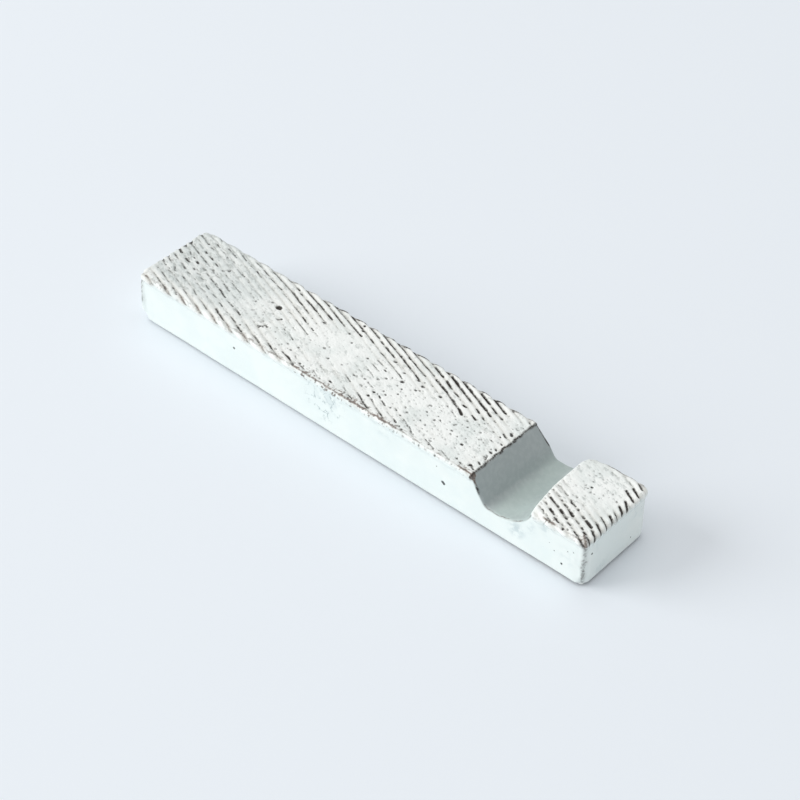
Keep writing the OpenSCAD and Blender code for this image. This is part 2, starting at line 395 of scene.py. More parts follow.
# Strokes where the slip has run off a valley and the clay shows, read off the deck a region at a
# time. Each is a start and an end, along and across the bar, and a strength from 0 to 1.
strokes = dict(
    leftEnd=[
        (-48.5, 8.5, -47.2, 7.9, 0.4), (-50.3, 7.8, -49.0, 7.4, 0.4), (-47.7, 6.9, -46.5, 6.4, 0.6),
        (-46.0, 6.2, -44.2, 5.8, 0.45), (-43.6, 5.5, -43.0, 5.1, 0.75), (-45.1, 7.3, -43.8, 6.9, 0.6),
        (-43.8, 6.9, -41.9, 6.3, 0.5), (-52.3, 7.0, -48.6, 5.8, 0.6), (-47.9, 5.5, -46.8, 5.2, 0.6),
        (-41.6, 4.8, -40.1, 4.3, 0.35), (-39.6, 4.1, -38.3, 3.6, 0.4), (-38.2, 3.6, -37.0, 3.4, 0.65),
        (-35.5, 3.0, -35.1, 2.6, 0.5), (-34.5, 2.4, -33.7, 2.3, 0.5), (-32.9, 1.9, -31.2, 1.4, 0.45),
        (-31.2, 1.4, -30.0, 0.9, 0.3), (-50.1, 4.8, -48.5, 4.2, 0.5), (-47.9, 4.0, -47.0, 3.6, 0.65),
        (-46.2, 3.5, -44.7, 3.0, 0.65), (-44.0, 2.7, -42.7, 2.2, 0.55), (-40.1, 1.5, -38.8, 1.0, 0.45),
        (-37.5, 0.6, -33.6, -0.8, 0.42), (-52.5, 4.5, -51.6, 3.9, 1.0), (-51.6, 3.9, -47.9, 2.6, 0.48),
        (-47.7, 2.5, -43.8, 1.2, 0.5), (-42.9, 0.9, -41.8, 0.3, 0.72), (-41.4, 0.2, -40.1, 0.0, 0.5),
        (-39.4, -0.1, -38.9, -0.3, 0.45), (-38.5, -0.6, -36.2, -1.4, 0.62),
        (-34.9, -1.8, -33.8, -2.1, 0.35), (-52.6, 2.9, -51.7, 2.4, 1.0), (-50.0, 2.0, -49.0, 1.3, 0.5),
        (-48.5, 1.3, -47.6, 1.1, 0.5), (-46.9, 0.8, -46.1, 0.4, 0.85), (-44.7, 0.0, -43.7, -0.1, 0.72),
        (-42.9, -0.5, -42.0, -0.9, 0.5), (-41.6, -1.0, -40.1, -1.5, 0.6), (-39.7, -1.7, -38.3, -2.2, 0.5),
        (-38.1, -2.2, -35.4, -3.2, 0.66), (-34.5, -3.6, -32.5, -4.1, 0.58),
        (-31.9, -4.3, -29.9, -5.0, 0.58), (-52.6, 1.5, -50.8, 0.7, 0.9), (-49.2, 0.0, -47.7, -0.2, 0.72),
        (-46.0, -1.0, -45.3, -1.4, 0.72), (-44.4, -1.6, -43.7, -1.8, 0.55),
        (-43.1, -2.2, -42.0, -2.3, 0.5), (-40.7, -3.0, -39.2, -3.7, 0.52),
        (-37.8, -4.1, -36.6, -4.3, 0.5), (-35.3, -5.0, -34.0, -5.4, 0.62),
        (-33.0, -5.8, -31.9, -6.1, 0.45), (-51.7, -0.4, -50.0, -1.1, 0.5),
        (-48.7, -1.5, -46.8, -2.2, 0.6), (-46.0, -2.6, -45.0, -2.7, 0.5),
        (-42.5, -3.8, -41.5, -3.9, 0.38), (-41.1, -4.3, -39.2, -4.6, 0.6),
        (-38.3, -5.2, -37.5, -5.5, 0.38), (-52.6, -1.3, -51.9, -1.9, 0.9),
        (-51.6, -2.0, -50.0, -2.6, 0.5), (-48.9, -3.0, -47.7, -4.0, 0.58),
        (-45.6, -4.1, -44.2, -4.6, 0.58), (-41.5, -5.5, -39.8, -6.3, 0.5),
        (-52.6, -2.8, -50.3, -3.9, 0.62), (-49.2, -4.5, -47.7, -4.7, 0.42),
        (-46.4, -5.2, -45.1, -5.8, 0.5), (-51.2, -5.2, -50.8, -5.4, 0.5),
        (-49.6, -5.7, -46.2, -7.1, 0.46), (-41.2, 1.9, -40.2, 3.1, 0.55),
    ],
    farStrip=[
        (-42.7, 7.9, -39.9, 6.9, 0.68), (-39.5, 6.9, -38.8, 6.6, 0.6), (-38.6, 6.4, -37.0, 6.2, 0.5),
        (-36.6, 6.1, -34.4, 5.3, 0.72), (-38.1, 7.8, -36.2, 7.4, 0.6), (-35.7, 7.2, -33.6, 6.5, 0.72),
        (-33.1, 6.3, -31.2, 5.8, 0.55), (-31.0, 5.7, -29.2, 5.3, 0.68), (-28.3, 4.7, -27.0, 4.3, 0.66),
        (-27.0, 4.3, -25.1, 3.8, 0.35), (-34.1, 8.0, -27.6, 6.2, 0.78), (-27.6, 6.2, -21.0, 3.7, 0.84),
        (-30.6, 8.3, -29.3, 8.0, 0.85), (-27.8, 7.6, -26.6, 7.3, 0.85), (-26.0, 6.9, -25.1, 6.6, 0.8),
        (-24.1, 6.3, -20.0, 5.0, 0.84), (-26.4, 8.4, -19.4, 6.2, 0.86), (-22.9, 8.6, -19.4, 7.6, 0.84),
        (-19.0, 7.3, -13.5, 5.3, 0.82), (-19.4, 6.2, -16.4, 5.1, 0.76), (-20.0, 5.0, -19.4, 4.7, 0.5),
        (-19.4, 4.7, -16.8, 3.8, 0.7), (-22.0, 4.1, -20.9, 3.5, 0.7), (-24.7, 3.5, -21.8, 2.5, 0.6),
        (-19.8, 8.6, -9.4, 5.3, 0.84), (-15.5, 8.6, -6.3, 5.3, 0.86), (-11.1, 8.5, -6.8, 7.1, 0.84),
        (-6.1, 6.7, -5.0, 6.3, 0.8), (-4.4, 6.1, -1.3, 5.0, 0.84), (-8.5, 8.7, -1.0, 6.1, 0.86),
        (-1.0, 6.1, 6.0, 3.4, 0.84), (-4.6, 8.7, 5.2, 5.1, 0.88), (5.2, 5.1, 6.2, 4.9, 0.72),
        (-0.3, 8.5, 7.3, 5.9, 0.74), (8.0, 5.5, 11.9, 4.1, 0.88), (3.0, 8.7, 5.0, 8.2, 0.72),
        (5.7, 7.9, 8.7, 6.7, 0.92), (9.6, 6.4, 11.8, 5.4, 0.92), (6.9, 8.7, 9.1, 8.0, 0.86),
        (9.5, 7.9, 16.5, 5.1, 0.9), (10.2, 8.9, 20.0, 5.1, 0.9), (20.2, 5.0, 21.5, 4.4, 0.88),
        (12.6, 5.1, 14.0, 4.6, 0.86), (14.5, 4.3, 15.0, 4.1, 0.5), (15.8, 3.6, 16.8, 3.4, 0.86),
        (18.7, 2.6, 20.1, 2.0, 0.82), (11.9, 4.0, 16.0, 2.3, 0.84), (16.0, 2.3, 17.5, 1.4, 0.95),
        (14.1, 8.8, 15.7, 8.3, 0.88), (16.3, 8.0, 19.4, 6.7, 0.9), (20.0, 6.4, 21.7, 5.7, 0.88),
        (22.3, 5.5, 23.5, 5.1, 0.76), (17.6, 8.8, 23.0, 6.7, 0.88), (20.7, 8.8, 22.6, 8.2, 0.78),
        (23.3, 8.1, 23.7, 7.9, 0.82), (18.3, 4.3, 19.4, 3.8, 0.84), (22.4, 4.0, 23.0, 3.8, 0.76),
        (20.3, 3.5, 21.2, 2.9, 0.66), (22.0, 2.8, 22.3, 2.6, 0.6), (24.1, 1.8, 24.4, 1.7, 0.72),
    ],
    middle=[
        (-21.2, 2.2, -19.5, 1.5, 0.74), (-17.9, 1.1, -16.9, 0.6, 0.66), (-16.5, 0.5, -15.3, 0.0, 0.5),
        (-21.7, 0.9, -16.9, -0.8, 0.64), (-20.5, -1.0, -19.3, -1.5, 0.55),
        (-21.5, -2.3, -20.9, -2.6, 0.5), (-19.7, -2.7, -17.9, -3.7, 0.6), (-18.5, 2.7, -17.6, 2.3, 0.35),
        (-19.7, 3.2, -19.3, 2.9, 0.5), (-18.4, -4.9, -17.8, -5.0, 0.45), (-5.9, 5.2, -4.2, 4.5, 0.35),
        (-4.2, 4.4, -2.9, 4.1, 0.72), (-2.9, 4.0, 0.3, 2.9, 0.5), (0.3, 2.9, 3.6, 1.6, 0.56),
        (-3.1, 2.5, -1.1, 2.0, 0.6), (-0.5, 1.4, 0.2, 1.2, 0.8), (-3.3, 1.2, -0.8, 0.4, 0.5),
        (-3.5, -0.1, -0.3, -1.5, 0.38), (-4.0, -1.5, -2.9, -1.8, 0.5), (-0.3, -3.1, 1.3, -3.6, 0.58),
        (3.3, -4.3, 4.1, -4.8, 0.8), (4.5, -5.0, 6.0, -5.6, 0.6), (-4.8, -4.1, -2.7, -5.0, 0.62),
        (-3.8, -3.2, -3.2, -3.3, 0.7), (7.5, -4.8, 8.4, -5.2, 0.6), (15.4, 1.0, 17.0, 0.4, 0.58),
        (8.3, 3.9, 9.0, 3.7, 0.66), (10.0, 3.2, 10.5, 3.0, 0.5), (-25.6, -5.0, -24.8, -4.7, 0.7),
        (-24.8, -4.7, -24.4, -3.6, 0.6), (-24.3, -1.5, -23.3, -0.9, 0.7), (-28.3, 1.5, -27.6, 1.9, 0.4),
        (-24.0, 1.6, -23.0, 1.4, 0.4), (-21.6, 0.8, -21.0, 0.6, 0.5), (-14.9, 4.4, -14.2, 4.2, 0.3),
        (0.0, 4.2, 2.2, 3.3, 0.3),
    ],
    nearStrip=[
        (-50.8, -6.7, -49.0, -7.4, 0.5), (-49.2, -7.4, -47.6, -8.0, 0.8), (-47.6, -8.0, -45.0, -8.9, 0.6),
        (-44.7, -7.7, -42.6, -8.5, 0.85), (-42.9, -6.7, -41.4, -7.3, 0.68),
        (-41.4, -7.3, -38.6, -8.4, 0.48), (-39.0, -6.6, -37.3, -7.2, 0.55),
        (-37.3, -7.2, -35.4, -8.1, 0.68), (-34.6, -6.6, -33.4, -7.2, 0.95),
        (-33.4, -7.2, -31.0, -8.1, 0.95), (-31.0, -6.4, -29.0, -7.1, 0.8),
        (-28.6, -7.4, -26.5, -8.1, 0.92), (-27.5, -6.1, -25.7, -6.8, 0.48),
        (-24.2, -7.4, -22.1, -8.1, 0.95), (-20.9, -7.1, -19.0, -8.0, 0.88),
        (-19.0, -8.0, -17.0, -8.6, 0.5), (-17.3, -7.2, -15.0, -7.7, 0.9), (-15.0, -7.7, -13.3, -8.5, 0.8),
        (-14.8, -6.4, -14.0, -6.9, 0.5), (-12.6, -7.7, -11.0, -8.1, 0.68), (-9.8, -7.1, -8.1, -7.8, 0.52),
        (-5.9, -7.2, -5.0, -7.5, 0.76), (-2.9, -6.7, -1.8, -7.3, 0.74), (-0.9, -7.8, 0.4, -8.1, 0.72),
        (0.0, -6.2, 2.0, -7.3, 0.76), (2.0, -7.3, 4.1, -8.1, 0.9), (2.9, -5.8, 5.0, -7.0, 0.62),
        (5.0, -7.0, 7.3, -8.0, 0.72), (9.1, -7.1, 10.2, -7.6, 0.82), (10.4, -6.0, 12.8, -6.9, 0.6),
        (12.8, -6.9, 14.0, -7.8, 0.62), (16.5, -7.3, 19.3, -8.2, 0.58), (20.4, -7.6, 23.0, -8.4, 0.58),
        (23.6, -7.2, 23.9, -7.5, 0.88), (24.7, -7.6, 25.3, -7.9, 0.7), (7.0, -6.5, 9.0, -7.1, 0.4),
    ],
    lip=[
        (25.8, 2.6, 26.9, 2.0, 0.88), (25.9, 1.6, 26.1, 1.4, 0.8), (26.7, 3.5, 27.4, 2.8, 0.98),
        (27.0, 0.4, 27.5, 0.0, 0.85), (27.1, -1.1, 27.7, -1.6, 0.85), (26.5, -1.7, 27.0, -1.9, 0.55),
        (26.8, -2.3, 27.4, -2.6, 0.96), (27.1, -3.3, 27.6, -4.5, 0.72), (27.0, -5.5, 27.7, -5.9, 0.85),
        (26.5, 5.1, 27.2, 4.8, 0.6), (27.2, 7.8, 27.8, 7.3, 0.6), (27.2, 6.1, 27.7, 5.8, 0.6),
        (26.3, -6.8, 26.8, -7.1, 0.98), (26.3, -6.9, 26.4, -7.4, 0.9), (26.9, -7.2, 27.7, -7.7, 0.85),
        (25.1, 0.0, 25.5, -0.3, 0.7), (25.3, -1.6, 25.6, -1.8, 0.5),
    ],
    block=[
        (41.5, -4.0, 43.9, -5.0, 0.86), (41.4, -5.4, 42.1, -5.7, 0.84), (42.9, -6.1, 44.4, -6.8, 1.0),
        (41.6, -7.2, 42.1, -7.1, 0.6), (42.1, -7.1, 42.8, -7.9, 0.7), (44.3, -5.2, 46.6, -6.3, 1.0),
        (44.8, -6.6, 45.1, -6.8, 0.7), (44.9, -7.3, 46.1, -7.9, 1.0), (44.0, -3.7, 45.1, -4.1, 0.92),
        (45.3, -4.3, 47.0, -5.1, 1.0), (44.3, -2.2, 44.8, -2.7, 0.85), (44.8, -2.7, 46.0, -3.0, 0.92),
        (46.5, -3.2, 46.9, -3.5, 0.95), (41.7, -2.5, 42.9, -2.9, 0.78), (43.2, -3.2, 43.7, -3.5, 0.7),
        (40.8, -0.9, 41.8, -1.0, 0.55), (41.8, -1.0, 43.6, -1.9, 0.6), (40.7, 0.8, 42.3, -0.1, 0.45),
        (40.7, -2.2, 41.4, -2.4, 0.6), (48.1, -4.0, 48.7, -4.3, 0.88), (49.1, -4.5, 50.9, -5.2, 1.0),
        (47.8, -5.4, 48.9, -5.9, 0.6), (49.5, -6.2, 50.1, -6.5, 0.95), (47.2, -6.8, 47.9, -7.0, 1.0),
        (48.4, -7.3, 48.7, -7.6, 0.8), (50.5, -6.9, 51.3, -7.0, 1.0), (49.1, -7.7, 50.6, -8.3, 0.88),
        (47.3, -8.3, 47.7, -8.6, 0.85), (43.8, -8.1, 45.0, -8.4, 0.6), (46.4, -5.7, 46.6, -5.8, 0.6),
        (47.2, -5.3, 47.4, -5.8, 0.45), (44.5, -0.9, 44.9, -1.3, 0.6), (43.9, -1.0, 44.1, -1.2, 0.35),
        (45.4, 7.5, 45.9, 7.2, 0.4), (40.4, -3.3, 41.2, -3.6, 0.6), (40.5, -4.6, 41.3, -4.9, 0.55),
        (40.7, -6.0, 41.5, -6.4, 0.6), (40.9, -6.7, 41.5, -7.0, 0.7), (43.0, -7.4, 43.6, -7.8, 0.5),
        (46.6, -7.6, 47.0, -7.9, 0.6), (48.0, -8.0, 48.5, -8.4, 0.6), (47.6, -3.2, 48.0, -3.4, 0.4),
        (48.9, 7.6, 49.9, 7.0, 0.45), (46.5, 5.6, 46.7, 5.3, 0.3),
    ],
    blockEnd=[
        (50.4, 8.3, 51.5, 7.6, 0.9), (50.4, 6.8, 52.0, 5.8, 0.95), (49.8, 5.6, 52.0, 4.4, 0.98),
        (51.2, 3.5, 52.5, 2.1, 1.0), (51.2, 1.9, 52.5, 0.9, 1.0), (51.4, 0.2, 52.7, -0.7, 0.7),
        (51.3, -0.9, 52.7, -2.1, 0.96), (50.4, -2.1, 52.6, -3.4, 0.78), (50.9, -3.9, 52.7, -5.0, 1.0),
        (51.3, -5.6, 52.8, -6.8, 0.98), (51.4, -7.3, 52.6, -7.9, 0.85), (50.6, -8.4, 52.2, -8.8, 0.7),
    ],
)
# How the strokes are cut
strokeCut = dict(
    shiftX=-0.1, shiftY=0.19,                # from the places as read off to the valleys
    width=0.078, widening=0.12, depth=0.08, deepening=0.17,
    raggedLeast=0.62, ragged=0.68, raggedSize=0.7,  # how noise narrows and widens a stroke
    waver=0.13, waverSize=1.3,               # how far it wanders off its line
    edges=(0.6, 1.7),                        # its soft edge, in shares of its width
    patchyLeast=0.6, patchy=0.4, patchySize=0.8, patchyEdges=(0.3, 0.55),  # how noise makes it patchy
    cap=0.16, capShare=0.4,                  # how far in the round ends lie, and at most which share
    margin=0.7,                              # how far from a stroke its points are worked out
    endRun=0.4, endSlope=0.7,                # how far the block's last strokes run over its end
    edgeLevel=8.5, edgeRun=0.45, edgeSlope=0.3,  # and those at the far arris over that
    whole=("lip", "blockEnd"),               # regions that the noise doesn't make patchy
    wider=dict(block=1.15, leftEnd=1.45),
    farWidth=[(-30, 1.0), (2, 1.02), (8, 1.14)],
    # how strongly a region's strokes show, along the bar
    gain=dict(
        leftEnd=[(-52, 1.05), (-30, 1.0)], farStrip=[(-30, 0.95), (0, 1.08), (8, 1.2)],
        middle=[(-20, 1.12), (20, 1.12)], nearStrip=[(-50, 0.78), (-32, 0.85), (-22, 1.06)],
    ),
)
# Single pits and scars on the decks: x, y, radius, strength
deckPits = [
    (-26.2, 1.4, 0.66, 1.0), (-23.6, -0.7, 0.26, 0.6), (-24.0, -1.2, 0.22, 0.5),
    (-24.1, -3.9, 0.30, 0.65), (-25.2, -4.9, 0.30, 0.6), (-25.8, -3.7, 0.28, 0.35),
    (-24.6, -4.5, 0.22, 0.5), (-28.1, 1.7, 0.30, 0.45), (-29.4, -2.3, 0.28, 0.3),
    (-27.0, -2.0, 0.24, 0.35), (-21.1, -2.4, 0.26, 0.6), (-40.3, 2.8, 0.34, 0.7), (-41.3, 2.1, 0.28, 0.5),
    (-25.7, -0.6, 0.26, 0.3), (-28.1, -6.8, 0.22, 0.5), (-11.0, 7.9, 0.30, 0.95),
    (-10.3, 6.8, 0.32, 0.95), (-11.7, 4.6, 0.30, 0.6), (-9.7, 3.0, 0.28, 0.5), (-10.1, -2.9, 0.28, 0.85),
    (-11.9, -0.5, 0.26, 0.35), (-12.4, -1.3, 0.36, 0.38), (-7.0, -2.5, 0.28, 0.45),
    (-6.4, 1.0, 0.30, 0.3), (-17.2, 3.8, 0.30, 0.8), (-0.5, 4.4, 0.36, 0.85), (-15.9, -4.3, 0.28, 0.5),
    (-16.5, -5.7, 0.26, 0.5), (-18.7, -7.3, 0.26, 0.5), (-9.3, -5.5, 0.22, 0.4), (-4.8, 1.8, 0.28, 0.5),
    (3.9, 1.2, 0.38, 0.9), (1.2, 0.0, 0.28, 0.75), (0.3, -1.1, 0.28, 0.5), (-2.4, -2.2, 0.22, 0.35),
    (-1.5, -2.6, 0.24, 0.5), (2.0, -4.1, 0.32, 0.82), (0.1, -4.0, 0.24, 0.5), (-1.0, -4.2, 0.24, 0.45),
    (1.8, -5.4, 0.30, 0.82), (3.1, -2.8, 0.26, 0.5), (4.0, -3.3, 0.26, 0.5), (5.5, -1.7, 0.26, 0.6),
    (7.5, 2.7, 0.40, 0.75), (7.1, 3.7, 0.24, 0.5), (7.2, 1.1, 0.26, 0.6), (7.7, 1.5, 0.22, 0.5),
    (2.7, 3.2, 0.30, 0.5), (5.9, 3.4, 0.32, 0.72), (11.5, 2.7, 0.36, 0.85), (6.8, -5.2, 0.24, 0.6),
    (9.8, -4.2, 0.26, 0.6), (9.4, -5.5, 0.24, 0.5), (11.5, -0.2, 0.26, 0.4), (14.0, 1.7, 0.26, 0.5),
    (14.0, 0.1, 0.24, 0.4), (18.3, 1.8, 0.26, 0.35), (19.0, 1.0, 0.26, 0.45), (20.1, -0.1, 0.28, 0.6),
    (22.6, 0.3, 0.28, 0.6), (22.6, 1.7, 0.22, 0.35), (18.1, -0.9, 0.28, 0.45), (18.6, -2.5, 0.28, 0.6),
    (14.6, -2.5, 0.32, 0.5), (22.1, -4.0, 0.30, 0.85), (17.5, -6.9, 0.28, 0.5), (11.9, -8.1, 0.28, 0.5),
    (-7.6, -7.8, 0.28, 0.5), (-12.8, -7.3, 0.28, 0.6), (13.1, -5.6, 0.24, 0.3), (45.1, 2.5, 0.24, 0.95),
    (44.7, 1.9, 0.22, 0.5), (46.3, 1.5, 0.20, 0.3), (44.1, 6.0, 0.20, 0.3), (44.0, 5.2, 0.22, 0.35),
    (45.4, 5.2, 0.20, 0.25), (48.4, 5.2, 0.18, 0.25), (49.7, 4.0, 0.18, 0.25), (50.5, -3.5, 0.22, 0.35),
    (40.8, 5.2, 0.26, 0.4), (40.8, 3.6, 0.22, 0.3), (40.8, 2.0, 0.24, 0.3), (40.8, 6.7, 0.22, 0.25),
    (48.7, -2.8, 0.20, 0.25),
]
# How the pits are cut: their squash across the bar, unevenness, soft edge, fading and depth
pitCut = dict(squash=1.2, ragged=0.15, edges=(0.6, 1.42), power=0.75, depth=0.26, reach=2.5)


def ridgeCount(x, y, block):
    # How many ridges lie between the start and this place, a whole number on each crest
    wave = softNoise(x, y * courses["wanderSquash"], courses["wanderSize"], seeds["wander"])
    wander = courses["wander"] * (wave - 0.5) * 2
    count = courses["along"] * x + courses["across"] * y + courses["start"]
    count = count + courses["bend"] * x * x + courses["spread"] * y * y
    slant = math.radians(courses["blockSlant"])
    square = x * math.sin(slant) + y * math.cos(slant)
    blockCount = (square - courses["blockValley"]) / courses["blockPitch"] + 0.5
    return np.where(block, blockCount, count) + wander


# Small pits strung along the valleys: how far apart, their largest radius, how wide they are strewn over
# a valley, their shift across it, how long they are drawn out, how strong and deep they are, and a seed
dots = [
    dict(spacing=1.15, radius=0.25, spread=0.35, shift=0.0, length=1.25, strength=0.8, depth=0.16, seed=41),
    dict(spacing=1.5, radius=0.2, spread=0.9, shift=0.37, length=1.25, strength=0.72, depth=0.16, seed=45),
    dict(spacing=0.75, radius=0.13, spread=0.9, shift=0.71, length=1.25, strength=0.6, depth=0.16, seed=49),
]
# Short dashes of the same kind on the greyer left end
dashes = dict(
    spacing=1.85, radius=0.17, spread=0.25, shift=0.0, length=3.4, strength=0.5, depth=0.12, seed=53,
)
# Where the dots thin out: round a quiet place, given with its reach each way, on standing ridges, at the
# left end and on the block
dotting = dict(
    most=0.98, quiet=(-10.5, 0.5, 5.5, 5.0), quietLoss=0.75, onRidges=0.35, calmMore=0.65,
    leftFade=(-28, -38), leftLoss=0.6, blockLoss=0.25, dashesFrom=(-25, -33),
    # within its cell: the start and the length of the stretch that a dot lies on, its reach across the
    # valley, its least size and the rest of it, how rare strong dots are, and its soft edge
    stretch=(0.3, 0.4), across=0.8, sizes=(0.55, 0.45), rarity=1.6, edges=(0.5, 1.3),
)


def valleyDots(x, count, kind):
    # One pit to a cell of the valley, with its own place, size and strength from the cell's random numbers
    along, across = x / kind["spacing"], count + kind["shift"]
    cell, valley = np.floor(along).astype(np.int64), np.floor(across).astype(np.int64)
    first, second, third, fourth = (cellValue(cell, valley, kind["seed"] + more) for more in range(4))
    stretchStart, stretch = dotting["stretch"]
    leastSize, otherSize = dotting["sizes"]
    innerEdge, outerEdge = dotting["edges"]
    middleX = stretchStart + stretch * first
    middleY = 0.5 + kind["spread"] * (second - 0.5) * dotting["across"]
    radius = kind["radius"] * (leastSize + otherSize * third)
    strength = kind["strength"] * fourth ** dotting["rarity"]
    nearX = (along - cell - middleX) * kind["spacing"]
    nearY = (across - valley - middleY) * courses["blockPitch"]
    apart = np.hypot(nearX / kind["length"], nearY)
    return strength * (1 - smoothStep(radius * innerEdge, radius * outerEdge, apart))


def strokeLine(region, stroke):
    # A stroke's two ends, shifted to its valley, and run over the arris where they reach it
    startX, startY, endX, endY, strength = stroke
    startX, endX = startX + strokeCut["shiftX"], endX + strokeCut["shiftX"]
    startY, endY = startY + strokeCut["shiftY"], endY + strokeCut["shiftY"]
    if region == "blockEnd":
        endX, endY = endX + strokeCut["endRun"], endY - strokeCut["endRun"] * strokeCut["endSlope"]
    if region == "farStrip" and startY > strokeCut["edgeLevel"]:
        startX = startX - strokeCut["edgeRun"]
        startY = startY + strokeCut["edgeRun"] * strokeCut["edgeSlope"]
    return startX, startY, endX, endY, strength


def strokeShape(region, line, x, y, waver, ragged):
    # How near each point lies to a stroke's line, from 0 to 1, in shares of the stroke's uneven width
    startX, startY, endX, endY, strength = line
    nearX, nearY = x - startX, y - startY + waver
    wayX, wayY = endX - startX, endY - startY
    # The round ends stay inside the stroke's own length
    cap = min(strokeCut["capShare"], strokeCut["cap"] / math.hypot(wayX, wayY))
    share = np.clip((nearX * wayX + nearY * wayY) / (wayX ** 2 + wayY ** 2), cap, 1 - cap)
    apart = np.hypot(nearX - share * wayX, nearY - share * wayY)
    width = strokeCut["width"] + strokeCut["widening"] * strength ** 2
    width = width * (strokeCut["raggedLeast"] + strokeCut["ragged"] * ragged)
    if region == "farStrip":
        width = width * fromList(startX, strokeCut["farWidth"])
    width = width * strokeCut["wider"].get(region, 1.0)
    innerEdge, outerEdge = strokeCut["edges"]
    return 1 - smoothStep(width * innerEdge, width * outerEdge, apart)


def strokeMarks(x, y):
    # How strongly a stroke or a pit shows at each point. A stroke's share falls off with the distance to
    # its line, which noise makes thick and thin, and a pit's with the distance to its middle.
    marks, depth = np.zeros_like(x), np.zeros_like(x)
    ragged = layeredNoise(x, y, strokeCut["raggedSize"], seeds["ragged"], 2)
    waver = strokeCut["waver"] * (softNoise(x, y, strokeCut["waverSize"], seeds["waver"]) - 0.5)
    worn = smoothStep(*strokeCut["patchyEdges"], softNoise(x, y, strokeCut["patchySize"], seeds["patchy"]))
    patchy = strokeCut["patchyLeast"] + strokeCut["patchy"] * worn

    def cut(close, shown, deep):
        marks[close] = np.maximum(marks[close], shown)
        depth[close] = np.maximum(depth[close], deep)

    margin = strokeCut["margin"]
    for region, lines in strokes.items():
        for asRead in lines:
            line = startX, startY, endX, endY, strength = strokeLine(region, asRead)
            close = np.abs(x - (startX + endX) / 2) < abs(endX - startX) / 2 + margin
            close = close & (np.abs(y - (startY + endY) / 2) < abs(endY - startY) / 2 + margin)
            if not close.any():
                continue
            shape = strokeShape(region, line, x[close], y[close], waver[close], ragged[close])
            if region not in strokeCut["whole"]:
                shape = shape * patchy[close]
            if region in strokeCut["gain"]:
                shape = shape * fromList(startX, strokeCut["gain"][region])
            cut(close, shape * strength, shape * (strokeCut["depth"] + strokeCut["deepening"] * strength))
    innerEdge, outerEdge = pitCut["edges"]
    for pitX, pitY, radius, strength in deckPits:
        close = np.hypot(x - pitX, y - pitY) < radius * pitCut["reach"]
        apart = np.hypot(x[close] - pitX, (y[close] - pitY) * pitCut["squash"])
        apart = apart + pitCut["ragged"] * (ragged[close] - 0.5)
        shape = 1 - smoothStep(radius * innerEdge, radius * outerEdge, apart)
        cut(close, shape * strength ** pitCut["power"], shape * pitCut["depth"] * strength)
    return marks, depth


def calmAndEdge(x, y, block):
    # How smooth the slip is worn, how much the ridges stand out as at an edge, and how far they run on to
    # the near arris
    calm = np.zeros_like(x)
    for placeX, placeY, reachX, reachY, strength in calmPlaces:
        apart = ((x - placeX) / reachX) ** 2 + ((y - placeY) / reachY) ** 2
        calm = np.maximum(calm, strength * np.exp(-apart ** 2 * calmFall))
    nearGain = np.where(y < 0, fromList(x, nearRidges), 1.0)
    bandStart, bandEnd = ridges["edgeBand"]
    edge = smoothStep(bar["width"] / 2 - bandStart, bar["width"] / 2 - bandEnd, np.abs(y)) * nearGain
    calm = np.maximum(calm, (1 - nearGain) * smoothStep(*ridges["nearStrip"], y))
    nearStart = ridges["blockStartShare"] * smoothStep(*ridges["blockStart"], x)
    nearStart = nearStart * smoothStep(*ridges["blockNear"], y)
    blockEdge = np.maximum(smoothStep(*ridges["blockEnd"], x), nearStart)
    edge = edge * (1 - ridges["farBlockLoss"] * block * (y > 0) * smoothStep(*ridges["farBlock"], x))
    edge = np.maximum(edge, block * blockEdge)
    return calm * (1 - ridges["edgeOverCalm"] * edge), edge, nearGain


def dotShare(x, y, calm, block):
    # How much of the small pits shows at each place
    quietX, quietY, reachX, reachY = dotting["quiet"]
    quiet = np.exp(-((x - quietX) / reachX) ** 4 - ((y - quietY) / reachY) ** 4)
    share = dotting["most"] * (1 - dotting["quietLoss"] * quiet)
    share = share * (dotting["onRidges"] + dotting["calmMore"] * calm)
    share = share * (1 - dotting["leftLoss"] * smoothStep(*dotting["leftFade"], x))
    return share * (1 - dotting["blockLoss"] * block)


